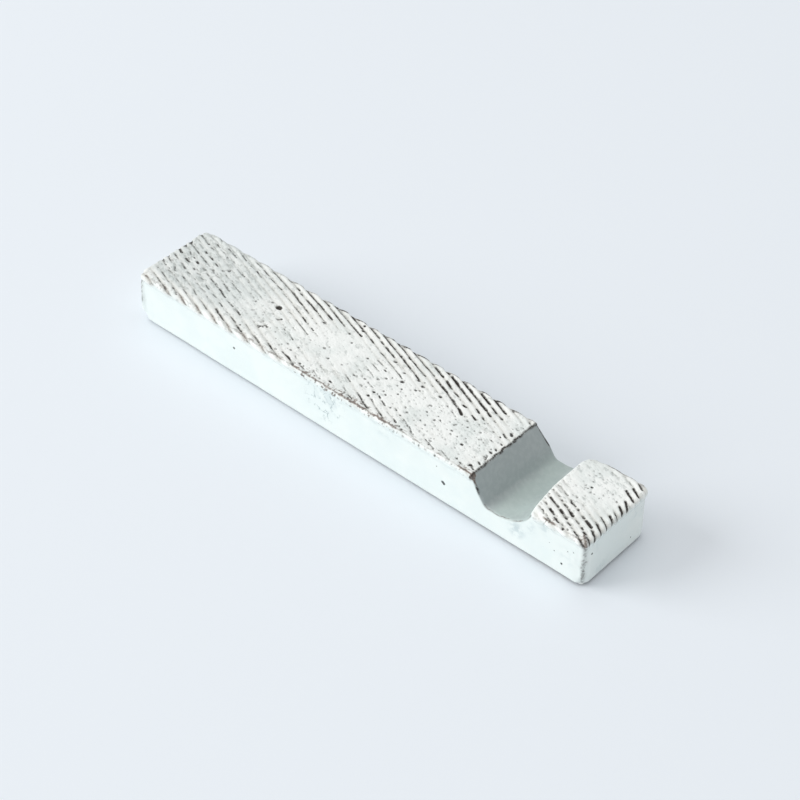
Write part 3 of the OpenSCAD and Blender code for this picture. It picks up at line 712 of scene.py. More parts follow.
def deckRelief(x, y, past, deck, block):
    # Height over the even deck, bareness of the clay, how much of a groove this is and how far the slip
    # runs down. A crest is a round back, lower where the slip is worn smooth, and the strokes and pits
    # are cut into it.
    count = ridgeCount(x, y, block)
    side = np.abs(count - np.floor(count) - 0.5) * 2  # 1 on a crest and 0 in the middle of a valley
    calm, edge, nearGain = calmAndEdge(x, y, block)
    valley = (1 - side) ** ridges["valleyPower"]
    rise = ridges["rise"] * (1 - ridges["leftLoss"] * smoothStep(*ridges["leftFade"], x))
    rise = rise - rise * calm + ridges["edgeRise"] * edge * (1 - calm)
    height = bar["crest"] - ridges["calmSink"] * calm + ridges["edgeCrest"] * edge - rise * valley
    # Each ridge is beaded: lumps along it, shorter and higher on the block
    stretched = x * (1 + ridges["blockLumps"] * block)
    crest = np.floor(count + 0.5) * ridges["lumpGap"]
    lumps = softNoise(stretched, crest, ridges["lumpSize"], seeds["lump"]) - 0.5
    height = height + ridges["lump"] * (1 + block) * lumps * side * (1 - calm)
    grain = layeredNoise(x, y, ridges["grainSize"], seeds["grain"])
    height = height + ridges["grain"] * (grain - 0.5)
    coarse = softNoise(x, y * ridges["coarseSquash"], ridges["coarseSize"], seeds["coarse"])
    height = height + ridges["coarse"] * (coarse - 0.5)
    marks, depth = strokeMarks(x, y)
    share = dotShare(x, y, calm, block)
    for kind in dots:
        pits = valleyDots(x, count, kind) * share
        marks, depth = np.maximum(marks, pits), np.maximum(depth, pits * kind["depth"])
    short = valleyDots(x, count, dashes) * smoothStep(*dotting["dashesFrom"], x) * (1 - edge)
    marks, depth = np.maximum(marks, short), np.maximum(depth, short * dashes["depth"])
    weight = deck * (1 - smoothStep(rollRun * ridges["crestRoll"], rollRun + ridges["lastCrest"], past))
    # The marks run over the near arris, and fade earlier on the roll of the far one
    farStart, farEnd = ridges["farMarks"]
    fadeStart = np.where(y < 0, rollRun, farStart)
    fadeEnd = np.where(y < 0, rollRun + ridges["nearMarks"], rollRun + farEnd)
    bare = marks * deck * (1 - smoothStep(fadeStart, fadeEnd, past))
    # The groove share also darkens the slip's colour in the valleys: its own tint there, and painted shade
    groove = (1 - side) ** ridges["groovePower"] * (1 - calm) * weight
    nearSlip = np.maximum(nearGain - ridges["slipLess"], 0)
    slipRun = side * np.where(y < 0, nearSlip, ridges["farSlip"]) * (1 - calm)
    return (height - depth) * weight, bare, groove, slipRun


def spaceNoise(place, size, seed):
    # Value noise in space: two layers of the flat noise, each shifted by a random amount of its own and
    # blended by height
    level = place[..., 2] / size
    layer = np.floor(level).astype(np.int64)
    share = level - layer
    share = share * share * (3 - 2 * share)
    column, row = place[..., 0] / size, place[..., 1] / size
    values = []
    for step in (0, 1):
        shift = cellValue(layer + step, layer * 0 + 5, seed) * 1000
        values.append(softNoise(column + shift, row + shift * 0.61, 1.0, seed + 7))
    return values[0] * (1 - share) + values[1] * share


# The soft speckled band along the upright near corners: brown and dark clay under thin glaze, and painted
# shade along the left corner's edge. Pairs are for the left and the right corner: its thickness, and the
# levels between which it sets in.
cornerBandAndShade = dict(
    thick=(0.4, 0.24), thicker=0.16, thickSize=1.0, sag=0.3, sagSize=1.5, waver=0.2, waverSize=0.5,
    speckLeast=0.45, speckSize=0.42, levelStart=(1.8, 0.3), levelFull=(5.5, 1.0), nearest=0.02,
)


def cornerLineAndShade(place, outAlong, outAcross):
    # Falls off with the distance from the corner's diagonal, which wavers on the right corner
    level = place[..., 2]
    onRight = outAlong > 0

    def bySide(pair):
        return np.where(onRight, pair[1], pair[0])

    waver = cornerBandAndShade["sag"] * (lineNoise(level, 4.0, cornerBandAndShade["sagSize"], seeds["cornerSag"]) - 0.5)
    quick = lineNoise(level, 0.0, cornerBandAndShade["waverSize"], seeds["cornerWaver"])
    waver = waver + cornerBandAndShade["waver"] * (quick - 0.5)
    thicker = lineNoise(level, 9.0, cornerBandAndShade["thickSize"], seeds["cornerThick"])
    thick = bySide(cornerBandAndShade["thick"]) + cornerBandAndShade["thicker"] * thicker
    line = np.exp(-((np.abs(outAlong) - np.abs(outAcross) - waver * onRight) / thick) ** 2)
    here = (np.abs(outAlong) > cornerBandAndShade["nearest"]) & (outAcross < -cornerBandAndShade["nearest"])
    speckled = cornerBandAndShade["speckLeast"] + spaceNoise(place, cornerBandAndShade["speckSize"], seeds["cornerSpeck"])
    risen = smoothStep(bySide(cornerBandAndShade["levelStart"]), bySide(cornerBandAndShade["levelFull"]), level)
    return line * here * speckled * risen


# Slow swells of the whole surface, and a finer orange peel that is weaker on the decks
swells = dict(slow=0.12, slowSize=8.0, peel=0.035, peelSize=2.6, deckLoss=0.4)


def unevenness(place, deck):
    slow = spaceNoise(place, swells["slowSize"], seeds["swell"]) - 0.5
    peel = spaceNoise(place, swells["peelSize"], seeds["peel"]) - 0.5
    return swells["slow"] * slow + swells["peel"] * peel * (1 - swells["deckLoss"] * deck)


# How strongly brown clay shows along the near and the far arris: place along, strength
nearRust = [
    (-52, 0.8), (-50, 0.5), (-46, 0.5), (-43, 0.2), (-30, 0.25), (-26, 0.5), (-14, 0.5), (-12, 0.95),
    (8, 0.85), (13, 0.5), (23, 0.45), (24.5, 0.3), (25.5, 0.9), (28, 1.0), (40, 0.0), (43, 0.2), (43.8, 0.9),
    (45.5, 0.8), (46.5, 0.3), (50, 0.4), (51, 1.0),
]
farRust = [(-52, 0.2), (20, 0.25), (27, 0.2), (41, 0.1), (44, 0.5), (50, 0.3), (52, 0.6)]
# How strongly brown shows in the valleys at the near arris, and a dark outline on the far one
valleyRust = [
    (-53, 0.75), (-49, 0.5), (-44, 0.7), (-22, 0.6), (-16, 0.3), (-12, 0.0), (0, 0.1), (8, 0.3), (12, 0.0),
    (43, 0.3), (52, 0.3),
]
farOutline = [
    (-46, 0.0), (-38, 0.3), (-26, 0.6), (-18, 0.9), (20, 0.9), (28, 0.4), (42, 0.5), (45, 0.9), (52, 0.8),
]
# The scribbled lines: where the middle of each lies, how far it wanders, how thick it is, the share by
# which it fades in places, and its seed
scribbles = dict(
    nearLine=(0.2, 0.4, 0.15, 0.35, 63), nearSecond=(-0.35, 0.9, 0.12, 0.85, 83),
    notchNear=(0.45, 0.4, 0.26, 0.4, 73), notchFar=(0.22, 0.4, 0.2, 0.4, 73),
    notchRim=(0.45, 0.5, 0.1, 0.6, 76), farLine=(0.32, 0.3, 0.16, 0.4, 79),
)
# The sizes of the noises by which a scribble wanders, thickens and breaks, and where its gaps set in
scribbling = dict(wanderSize=1.3, thickSize=0.6, gapSize=0.9, gaps=(0.5, 0.35))
# Where the marks along the arrises lie. Pairs are the two places between which one grows or fades.
arris = dict(
    ends=(0.3, 0.7), endLoss=0.85, wallTop=(5.8, 8.0), wallEnd=34, rimStart=31,
    band=((-1.3, -0.2), (0.7, 1.7)), valleyBand=((-0.7, 0.1), (0.7, 1.1)),
    secondShare=0.5, speckEdges=(0.68, 0.8), speckSize=0.32, speckShare=0.7,
    notchBrown=(8.2, 9.4), notchDark=(8.6, 9.8), nearDark=0.75, farDark=0.9, rimShare=0.6, rimDark=0.5,
    cornerBrown=(8.8, 10.2), cornerDarkAndShade=(9.2, 10.4), brownCorners=(0.3, 0.85), darkCornersAndShade=(0.5, 0.44),
    # the brown patch beside the notch: its place, the weights of x and z, its ragged edge and its side
    patchX=28.1, patchZ=10.2, patchWeights=(1.3, 0.6), patchRagged=0.9, patchSize=0.7,
    patchEdges=(0.2, 0.9), patchSide=-7.8, outlineEnds=(0.35, 0.8),
)


def largest(*fields):
    return np.maximum.reduce(np.broadcast_arrays(*fields))


def scribble(x, across, centre, wander, thick, breaks, seed):
    # A scribbled line along an arris: it wanders, grows thick and thin, and fades by the share breaks
    middle = centre + wander * (layeredNoise(x, x * 0 + 2.0, scribbling["wanderSize"], seed) - 0.5)
    width = thick * (0.5 + lineNoise(x, 5.0, scribbling["thickSize"], seed + 3))
    line = np.exp(-((across - middle) / width) ** 2)
    gaps = smoothStep(*scribbling["gaps"], lineNoise(x, 8.0, scribbling["gapSize"], seed + 5))
    return line * (1 - breaks * gaps)


def notchPatch(place):
    # The brown patch where the near arris meets the notch's wall
    weightX, weightZ = arris["patchWeights"]
    away = np.hypot((place[..., 0] - arris["patchX"]) * weightX, (place[..., 2] - arris["patchZ"]) * weightZ)
    away = away + arris["patchRagged"] * (spaceNoise(place, arris["patchSize"], seeds["brownPatch"]) - 0.5)
    return (place[..., 1] < arris["patchSide"]) * (1 - smoothStep(*arris["patchEdges"], away))


def deckRust(x, inward, nearSide, onDeck, onEnd, groove):
    # Brown along the near arris: two lines, the valleys that run over it, and specks beside them
    gain = np.where(nearSide, fromList(x, nearRust), fromList(x, farRust)) * (1 - arris["endLoss"] * onEnd)
    second = arris["secondShare"] * scribble(x, inward, *scribbles["nearSecond"])
    rust = np.maximum(scribble(x, inward, *scribbles["nearLine"]), second) * gain * onDeck * nearSide
    rise, fall = arris["valleyBand"]
    valleys = np.where(nearSide, fromList(x, valleyRust), 0) * groove ** 2
    valleys = valleys * smoothStep(*rise, inward) * (1 - smoothStep(*fall, inward))
    specks = smoothStep(*arris["speckEdges"], softNoise(x, inward, arris["speckSize"], seeds["rustSpeck"]))
    specks = specks * plateau(inward, *arris["band"]) * gain * onDeck * nearSide
    return largest(rust, valleys * (1 - onEnd), arris["speckShare"] * specks)


def arrisMarks(patch, groove):
    # Where thin glaze lets the clay show along the arrises: as brown, and as bare dark clay, which on the
    # upright corners is partly painted shade
    place, past, notch, outAlong = patch["place"], patch["past"], patch["notch"], patch["outAlong"]
    x, y, z = place[..., 0], place[..., 1], place[..., 2]
    onDeck, onEnd, nearSide = 1 - notch, smoothStep(*arris["ends"], np.abs(outAlong)), y < 0
    inward = np.where(past > 0, past, np.abs(y) - bar["width"] / 2 + bar["roll"])
    rust = deckRust(x, inward, nearSide, onDeck, onEnd, groove)
    # The lines where the notch breaks through the walls
    onWall = notch * (x < arris["wallEnd"]) * smoothStep(*arris["wallTop"], z)
    notchNear, notchFar = (scribble(z, past, *scribbles[name]) for name in ("notchNear", "notchFar"))
    notchLine = np.where(nearSide, notchNear, notchFar) * (past > 0)
    notchBrown = notchLine * onWall * nearSide * smoothStep(*arris["notchBrown"], z)
    rim = arris["rimShare"] * nearSide * notch * (x > arris["rimStart"])
    rim = rim * scribble(x, past, *scribbles["notchRim"]) * (past > 0)
    corner = cornerLineAndShade(place, outAlong, patch["outAcross"])
    cornerBrown = corner * np.where(x < 0, *arris["brownCorners"]) * smoothStep(*arris["cornerBrown"], z)
    outline = scribble(x, past, *scribbles["farLine"]) * fromList(x, farOutline) * onDeck
    outline = outline * (y > 0) * (past > 0) * (1 - smoothStep(*arris["outlineEnds"], np.abs(outAlong)))
    nearDark = arris["nearDark"] * (1 - smoothStep(*arris["notchDark"], z))
    notchDark = np.where(nearSide, nearDark, arris["farDark"]) * notchLine * onWall
    # The dark band on the upright corners, stronger on the left: partly clay under thin glaze, partly painted
    # shade along the corner's edge
    cornerDarkAndShade = np.where(x < 0, *arris["darkCornersAndShade"]) * corner * (1 - smoothStep(*arris["cornerDarkAndShade"], z))
    brown = largest(rust, notchBrown, rim, cornerBrown, notchPatch(place))
    return brown, largest(outline, notchDark, cornerDarkAndShade, arris["rimDark"] * rim)


# The dark line where the long deck's slip ends at the notch
slipEnd = dict(
    thick=0.14, thicker=0.16, thickSize=0.7, shift=0.12, wander=0.3, wanderSize=1.1,
    faintest=0.75, stronger=0.4, strengthSize=0.9,
)


def lipLine(along, y):
    # Falls off with the distance from a wandering line just past the deck's end
    thicker = lineNoise(y, 7.0, slipEnd["thickSize"], seeds["slipThick"])
    thick = slipEnd["thick"] + slipEnd["thicker"] * thicker
    wander = slipEnd["wander"] * (lineNoise(y, 0.0, slipEnd["wanderSize"], seeds["slipWander"]) - 0.5)
    line = np.exp(-((along - pathMarks["lip"] - slipEnd["shift"] - wander) / thick) ** 2)
    stronger = lineNoise(y, 3.0, slipEnd["strengthSize"], seeds["slipStrength"])
    return line * (slipEnd["faintest"] + slipEnd["stronger"] * stronger)


# Where the fields on the meshes change: shares of the rolled arris, and places along and across the bar
fieldEdges = dict(
    glassStart=0.35, glassBeyond=0.1, slipRun=0.9, lip=(0.7, 1.3), lipShare=0.85, poolAndShade=(0.5, 0.95),
    greyShadedWall=(31, 34), greyEnd=(-20, -42), greyNear=(-5.5, -7.5), greyNearLoss=0.9,
)


def dress(patch):
    # Adds relief, unevenness and the fields that the finishes read to a patch of the top or to the wall
    deck, notch, place, past = patch["deck"], patch["notch"], patch["place"], patch["past"]
    relief, bare, groove, slipRun = deckRelief(patch["flatX"], patch["flatY"], past, deck, patch["block"])
    patch["outer"] = place + patch["normal"] * (relief + unevenness(place, deck))[..., None]
    # The slip runs further down the wall on the ridges than in the valleys
    slipEdge = past - fieldEdges["slipRun"] * slipRun
    glass = smoothStep(rollRun * fieldEdges["glassStart"], rollRun + fieldEdges["glassBeyond"], slipEdge)
    glass = largest(glass, 1 - deck, notch)
    rust, arrisBare = arrisMarks(patch, groove)

    def fadeOnRoll(shares):
        return 1 - smoothStep(rollRun * shares[0], rollRun * shares[1], past)

    lipBare = fieldEdges["lipShare"] * patch["lip"] * fadeOnRoll(fieldEdges["lip"])
    # The notch's wall gets the greyer pooled colour: the glaze's own grey deepened by painted shade
    greyShadedWall = notch * (1 - smoothStep(*fieldEdges["greyShadedWall"], place[..., 0]))
    greyDeck = smoothStep(*fieldEdges["greyEnd"], place[..., 0]) * deck
    # The left end's grey is taken off the near strip so that its ridges stay white: a painted highlight where
    # they face the light
    greyKeptOffHighlight = 1 - fieldEdges["greyNearLoss"] * smoothStep(*fieldEdges["greyNear"], place[..., 1])
    # The grey field holds the left end's own grey and the notch wall's painted shade; the pooled glaze's
    # colour also holds painted shade
    patch["fields"] = dict(
        bare=largest(bare, lipBare, arrisBare), groove=groove, glass=glass, rust=rust,
        poolAndShade=notch * fadeOnRoll(fieldEdges["poolAndShade"]), toneAndWallShade=largest(greyDeck * greyKeptOffHighlight, greyShadedWall),
    )
    return patch


print("relief ready")


# The grids: the step in millimetres, points across a coat and the clay, rows down the wall and round
# its hem, how many steps of a coat's or the clay's face go to one of its hidden back, how much longer
# the clay's steps are, and the angle in degrees past which an edge stays sharp
grid = dict(
    step=0.19, columns=199, backEvery=6, wallRows=42, rowCrowd=1.7, hemRows=9,
    clayColumns=49, clayEvery=3, clayStep=1.8, sharpest=62,
)


def closedSkin(name, outer, inner, every, fields):
    # A closed mesh from an outer grid and a coarser inner one, with a strip of triangles between their
    # edges. The inner grid has one point for every few points of the outer one.
    rows, columns = outer.shape[:2]
    innerRows, innerColumns = inner.shape[:2]
    index = np.arange(rows * columns).reshape(rows, columns)
    innerIndex = rows * columns + np.arange(innerRows * innerColumns).reshape(innerRows, innerColumns)

    def quads(cells):
        return np.stack([cells[:-1, :-1], cells[1:, :-1], cells[1:, 1:], cells[:-1, 1:]], -1).reshape(-1, 4)

    def edgeLoop(cells):
        return np.concatenate([cells[:-1, 0], cells[-1, :-1], cells[:0:-1, -1], cells[0, :0:-1]])

    outerLoop, innerLoop = edgeLoop(index), edgeLoop(innerIndex)
    count, innerCount = len(outerLoop), len(innerLoop)
    step = np.arange(count)
    nearest = (step // every + (step % every >= every // 2)) % innerCount
    fan = np.stack([outerLoop[(step + 1) % count], outerLoop, innerLoop[nearest]], -1)
    block = np.arange(innerCount)
    middles = outerLoop[block * every + every // 2]
    closing = np.stack([innerLoop, innerLoop[(block + 1) % innerCount], middles], -1)
    faces = quads(index).tolist() + quads(innerIndex)[:, ::-1].tolist() + fan.tolist() + closing.tolist()
    points = np.concatenate([outer.reshape(-1, 3), inner.reshape(-1, 3)])
    padded = {}
    for key, values in fields.items():
        padded[key] = np.concatenate([values.reshape(-1), np.zeros(innerRows * innerColumns)])
    return newPiece(name, points, faces, padded)


def newPiece(name, points, faces, fields):
    # Puts points in millimetres and their faces into a mesh in metres, with each field as an attribute
    mesh = bpy.data.meshes.new(name)
    mesh.from_pydata(points * metre, [], faces)
    mesh.shade_smooth()
    mesh.set_sharp_from_angle(angle=math.radians(grid["sharpest"]))
    for key, values in fields.items():
        layer = mesh.attributes.new(key, "FLOAT", "POINT")
        layer.data.foreach_set("value", np.ascontiguousarray(values, dtype=np.float32))
    mesh.update()
    piece = bpy.data.objects.new(name, mesh)
    bpy.context.collection.objects.link(piece)
    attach(piece, "root")
    print("made", name, len(points), "points")
    return piece


def evenRows(length, step, every):
    return every * math.ceil(length / step / every) + 1


# How the decks and the notch's glaze pass into each other, in millimetres from the path's marks
passing = dict(deckEnd=(-0.1, -0.2), blockStart=(0.1, -0.1), notchStart=(0.06, 0.2), notchEnd=(-0.4, -0.6))


def between(first, last, name, along):
    # A smooth step between two marks of the path, each shifted as above
    shifts = passing[name]
    return smoothStep(pathMarks[first] + shifts[0], pathMarks[last] + shifts[1], along)


def makePatch(start, end, rolled, block):
    first, last = pathMarks[start], pathMarks[end]
    rows = evenRows(last - first + rollRun * sum(rolled), grid["step"], grid["backEvery"])
    patch = topPatch(first, last, rolled, rows, grid["columns"])
    along = patch["along"]
    # The relief is read off the deck as if it were flat, measured from the nearer end of the bar
    fromStart = -bar["length"] / 2 + bar["roll"] + along
    fromEnd = bar["length"] / 2 - bar["roll"] - (pathMarks["end"] - along)
    patch["flatX"] = fromEnd if block else fromStart
    patch["flatY"] = patch["across"]
    patch["block"] = np.full(along.shape, block)
    longDeck = 1 - between("lip", "wall", "deckEnd", along)
    patch["deck"] = np.maximum(longDeck, between("blockLip", "block", "blockStart", along))
    beyondLip = between("lip", "lip", "notchStart", along)
    patch["notch"] = beyondLip * (1 - between("blockLip", "block", "notchEnd", along))
    patch["lip"] = lipLine(along, patch["across"])
    return dress(patch)


def roundTheBar(parts):
    # Values along the patches' outer edges, in order round the bar from the near corner of the long deck
    near = [part[:-1, 0] for part in parts]
    far = [part[:0:-1, -1] for part in reversed(parts)]
    return np.concatenate(near + [parts[-1][-1, :-1]] + far + [parts[0][0, :0:-1]])


def wallLevels(rim):
    # Each column of the wall drops from the rim to the hem, and turns in under it along an arc. Rows
    # crowd towards the top, where the ridges run out.
    rows, top = grid["wallRows"], rim["place"][:, 2:]
    hemTurn = math.radians(bar["hemTurn"])
    hemTop = fromList(rim["place"][:, :1], bar["bareFoot"]) + bar["hemGap"] + bar["hem"] * math.sin(hemTurn)
    level = top + (hemTop - top) * np.linspace(0, 1, rows) ** grid["rowCrowd"]
    turn = np.linspace(0, hemTurn, grid["hemRows"])[1:]
    arcLevel = hemTop - bar["hem"] * np.sin(turn)[None, :]
    inset = np.concatenate([np.zeros(rows), bar["hem"] * (1 - np.cos(turn))])
    return np.concatenate([level, arcLevel], axis=1), inset


def wallRing(patches):
    # The wall's glaze: a closed tube round the bar, down its outside, round the hem and up its inside
    shared = ("block", "deck", "notch", "lip", "outAlong", "outAcross")
    rim = {}
    for key in ("place", "outer", "flatX", "flatY", *shared):
        rim[key] = roundTheBar([patch[key] for patch in patches])
    level, inset = wallLevels(rim)
    count, rows = level.shape
    way = np.stack([rim["outAlong"], rim["outAcross"], np.zeros(count)], -1)
    place = np.repeat(rim["place"][:, None, :], rows, axis=1) - way[:, None, :] * inset[None, :, None]
    place[..., 2] = level
    drop = rim["place"][:, 2:] - level
    # The corners' swell, which the rim has in full, runs out towards the foot
    swellGone = cornerSwell(rim["outAlong"], rim["outAcross"], rim["place"][:, 2])[:, None]
    swellGone = swellGone - cornerSwell(rim["outAlong"][:, None], rim["outAcross"][:, None], level)
    place = place - way[:, None, :] * swellGone[..., None]
    wall = dict(place=place, normal=np.repeat(way[:, None, :], rows, axis=1), past=rollRun + drop)
    wall["flatX"] = rim["flatX"][:, None] + rim["outAlong"][:, None] * drop
    wall["flatY"] = rim["flatY"][:, None] + rim["outAcross"][:, None] * drop
    for key in shared:
        wall[key] = np.repeat(rim[key][:, None], rows, axis=1)
    dress(wall)
    wall["outer"][:, 0] = rim["outer"]
    # Inside, a few rows go up from the hem to the rim at the depth of the coat
    bottom, top = level[:, -1], rim["place"][:, 2]
    innerLevel = np.stack([bottom, (bottom + top) / 2, top], -1)
    inner = rim["place"][:, None, :] - way[:, None, :] * bar["coat"]
    inner = np.repeat(inner, innerLevel.shape[1], axis=1)
    inner[..., 2] = innerLevel
    points = np.concatenate([wall["outer"], inner], axis=1)
    across = points.shape[1]
    index = np.arange(count * across).reshape(count, across)
    after, below = np.roll(index, -1, axis=0), np.roll(index, -1, axis=1)
    faces = np.stack([index, below, np.roll(after, -1, axis=1), after], -1).reshape(-1, 4)
    fields = {}
    for key, values in wall["fields"].items():
        fields[key] = np.concatenate([values, np.zeros(innerLevel.shape)], axis=1).reshape(-1)
    return newPiece("wallGlaze", points.reshape(-1, 3), faces.tolist(), fields)


# How far the bare clay's sides go up under the glaze, and how uneven its rounded foot is
clay = dict(skirt=1.2, grit=0.05, gritSize=0.9, swell=0.04, swellSize=4.0)


def clayCore():
    # A flat foot with a rounded edge, sides that go up under the glaze, and a top under the coats
    inset, footRoll, end = bar["coat"], bar["footRoll"], pathMarks["end"]
    every, columns = grid["clayEvery"], grid["clayColumns"]
    rows = evenRows(end, grid["step"] * grid["clayStep"], 2 * every)
    lead = inset + footRoll - bar["roll"]
    foot = flatLayout(
        lead, end - lead, (True, True), rows, columns, bar["width"] / 2 - inset - footRoll,
        bar["clayCorner"] - inset - footRoll, footRoll * math.pi / 2 + clay["skirt"],
    )
    along, across, down, swing = rollOver(foot, footRoll)
    x = onPath(along)[0]
    grit = clay["grit"] * layeredNoise(x, across, clay["gritSize"], seeds["clayGrit"]) * np.cos(swing)
    grit = grit + clay["swell"] * softNoise(x, across, clay["swellSize"], seeds["claySwell"]) * np.cos(swing)
    outer = np.stack([x, across, down + grit * (foot["past"] > 0)], -1)[:, ::-1]
    top = topPatch(0, end, (True, True), (rows - 1) // every + 1, (columns - 1) // every + 1)
    inner = (top["place"] - top["normal"] * bar["coat"])[:, ::-1]
    return closedSkin("clayCore", outer, inner, every, {})


def coatPiece(name, patch):
    every = grid["backEvery"]
    back = (patch["place"] - patch["normal"] * bar["coat"])[::every, ::every]
    return closedSkin(name, patch["outer"], back, every, patch["fields"])


longDeck = makePatch("deck", "wall", (True, False), False)
notchBed = makePatch("wall", "blockLip", (False, False), False)
shortDeck = makePatch("blockLip", "end", (False, True), True)
print("top patches", [patch["along"].shape for patch in (longDeck, notchBed, shortDeck)])

pieces = dict(
    longDeckSlip=coatPiece("longDeckSlip", longDeck),
    notchGlaze=coatPiece("notchGlaze", notchBed),
    shortDeckSlip=coatPiece("shortDeckSlip", shortDeck),
    wallGlaze=wallRing([longDeck, notchBed, shortDeck]),
    clayCore=clayCore(),
)
stands = dict(
    longDeckSlip=("long_deck_slip", "white_slip"), notchGlaze=("notch_glaze", "pooled_glaze"),
    shortDeckSlip=("short_deck_slip", "white_slip"), wallGlaze=("wall_glaze", "white_glaze"),
    clayCore=("clay_body", "stoneware_clay"),
)
for name, piece in pieces.items():
    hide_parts(stands[name][0])


def colour(red, green, blue, alpha=1.0):
    # A colour written as it looks on screen, from 0 to 255, turned into the linear values of sockets
    linear = []
    for value in (red / 255, green / 255, blue / 255):
        linear.append(value / 12.92 if value < 0.04045 else ((value + 0.055) / 1.055) ** 2.4)
    return (*linear, alpha)


class NodeSheet:
    # Short calls for adding nodes to one tree and joining them
    def __init__(self, tree):
        self.tree = tree

    def add(self, kind, inputs=None, **settings):
        node = self.tree.nodes.new("ShaderNode" + kind)
        for key, value in settings.items():
            setattr(node, key, value)
        for key, value in (inputs or {}).items():
            self.put(value, node.inputs[key])
        return node

    def put(self, value, socket):
        if isinstance(value, bpy.types.NodeSocket):
            self.tree.links.new(value, socket)
        else:
            socket.default_value = value

    def math(self, operation, first, second):
        return self.add("Math", {0: first, 1: second}, operation=operation).outputs[0]

    def times(self, first, second):
        return self.math("MULTIPLY", first, second)

    def plus(self, first, second):
        return self.math("ADD", first, second)

    def minus(self, first, second):
        return self.math("SUBTRACT", first, second)

    def largest(self, first, second):
        return self.math("MAXIMUM", first, second)

    def vector(self, operation, inputs):
        return self.add("VectorMath", inputs, operation=operation)

    def apart(self, place, spot):
        # The distance from a spot given in millimetres
        centre = tuple(value * metre for value in spot)
        return self.vector("DISTANCE", {0: place, 1: centre}).outputs["Value"]

    def mix(self, share, first, second):
        # A Mix node for colours has its factor at socket 0 and its colours at 6 and 7
        node = self.add("Mix", data_type="RGBA")
        for value, key in ((share, 0), (first, 6), (second, 7)):
            self.put(value, node.inputs[key])
        return node.outputs[2]

    def step(self, value, start, end, low=0.0, high=1.0):
        inputs = {"Value": value, "From Min": start, "From Max": end, "To Min": low, "To Max": high}
        return self.add("MapRange", inputs, interpolation_type="SMOOTHSTEP").outputs["Result"]

    def noise(self, place, scale, detail=3.0, roughness=0.55):
        inputs = {"Vector": place, "Scale": scale, "Detail": detail, "Roughness": roughness}
        return self.add("TexNoise", inputs).outputs[0]

    def field(self, name):
        return self.add("Attribute", attribute_name=name).outputs["Fac"]

    def bump(self, height, strength, distance):
        inputs = {"Height": height, "Strength": strength, "Distance": distance}
        return self.add("Bump", inputs).outputs["Normal"]


# Colours of the fired surfaces, as they look on screen
finish = dict(
    # The groove colour is partly the slip's own tint in the valleys and partly painted shade there
    slip=(247, 250, 248), slipCool=(232, 238, 236), slipGrey=(213, 220, 219), groove=(207, 206, 199),
    mottle=(164, 172, 169), glaze=(238, 245, 242), glazeCool=(233, 242, 240),
    # The pooled glaze colours are its own grey-green, darkened by painted shade on the notch's floor and wall
    poolAndShade=(179, 193, 190), wallPoolAndShade=(163, 172, 173), smudge=(196, 210, 212), craze=(150, 166, 168),
    clay=(47, 41, 36), bareClay=(70, 64, 60), rust=(130, 113, 102), rustDark=(84, 74, 68), speck=(32, 34, 36),
)
shades = {name: colour(*values) for name, values in finish.items()}
# Noise in the coats and in the clay: its scale, detail and roughness
noises = dict(
    slow=(160.0,), middling=(620.0, 4.0), fine=(2600.0, 3.0, 0.65), patchy=(1250.0, 3.0, 0.6),
    claySlow=(240.0,), clayFine=(2200.0, 4.0, 0.7),
)
# Where each effect sets in: the values at which it starts and is full, and after them its least and its
# greatest strength where these aren't 0 and 1
onsets = dict(
    slipCool=(0.42, 0.66), slipGrey=(0.3, 0.7, 0.35, 1.0), mottle=(-0.02, 0.1), glazeCool=(0.35, 0.65),
    smudge=(0.42, 0.62), craze=(0.05, 0.012), crazeGaps=(0.46, 0.56), poolGrey=(0.38, 0.62, 0.0, 0.3),
    poolPatches=(0.45, 0.6, 0.0, 0.05), rustGrain=(0.3, 0.6, 0.7, 1.2), rust=(0.08, 0.75),
    rustDark=(0.4, 0.6), bareGrain=(0.3, 0.7, 0.6, 1.4), bare=(0.02, 0.88),
    grainHeight=(0.0, 1.0, 0.12, 0.004), patchHeight=(0.0, 1.0, 0.16, 0.0),
    swellHeight=(0.0, 1.0, 0.05, 0.02), clayTone=(0.35, 0.65), clayGrit=(0.56, 0.7),
    clayRough=(0.3, 0.7, 0.75, 0.92),
)
# The mottling is drawn out along the ridges, and the greyer end has a little more of it. Grooves are
# darker, by the slip's own tint and by painted shade in the valleys, less so at that end.
mottling = dict(slant=22.0, drawn=(0.55, 1.0, 1.0), edge=0.43, edgeGrey=0.04, share=0.45, shareGrey=0.1)
grooveShading = dict(share=0.7, shareGrey=0.45)
# Roughness of bare and glassy places, how noise varies it, and the bumps' strength and distance
surface = dict(
    dull=0.62, glassy=0.24, roughVaries=0.12, rustShare=0.9, coatBump=(0.6, 0.001), clayBump=(0.7, 0.0001),
    refraction=1.48,
)


# Pinholes in the glaze of the walls: x, y, z and radius
pinholes = [
    (-28.0, -8.8, 6.6, 0.34), (22.0, -8.8, 5.15, 0.42), (22.25, -8.8, 4.95, 0.38),
    (47.9, -8.8, 3.2, 0.30), (52.6, -6.7, 7.2, 0.28), (52.6, 4.2, 2.6, 0.2), (-36.5, 8.8, 4.1, 0.28),
    (9.4, 8.8, 6.3, 0.32), (31.2, 8.8, 3.0, 0.26), (-52.6, 2.6, 5.4, 0.28), (20.5, -8.8, 8.0, 0.16),
    (45.2, -8.8, 6.4, 0.14), (46.3, -8.8, 5.2, 0.16), (50.2, -8.8, 7.4, 0.16), (49.0, -8.8, 6.8, 0.12),
    (44.0, -8.8, 4.6, 0.12), (52.6, -7.6, 9.2, 0.16), (52.6, -7.9, 5.4, 0.13), (52.6, -3.4, 1.7, 0.14),
    (52.6, 1.2, 7.4, 0.11), (52.6, 6.8, 8.1, 0.13),
]
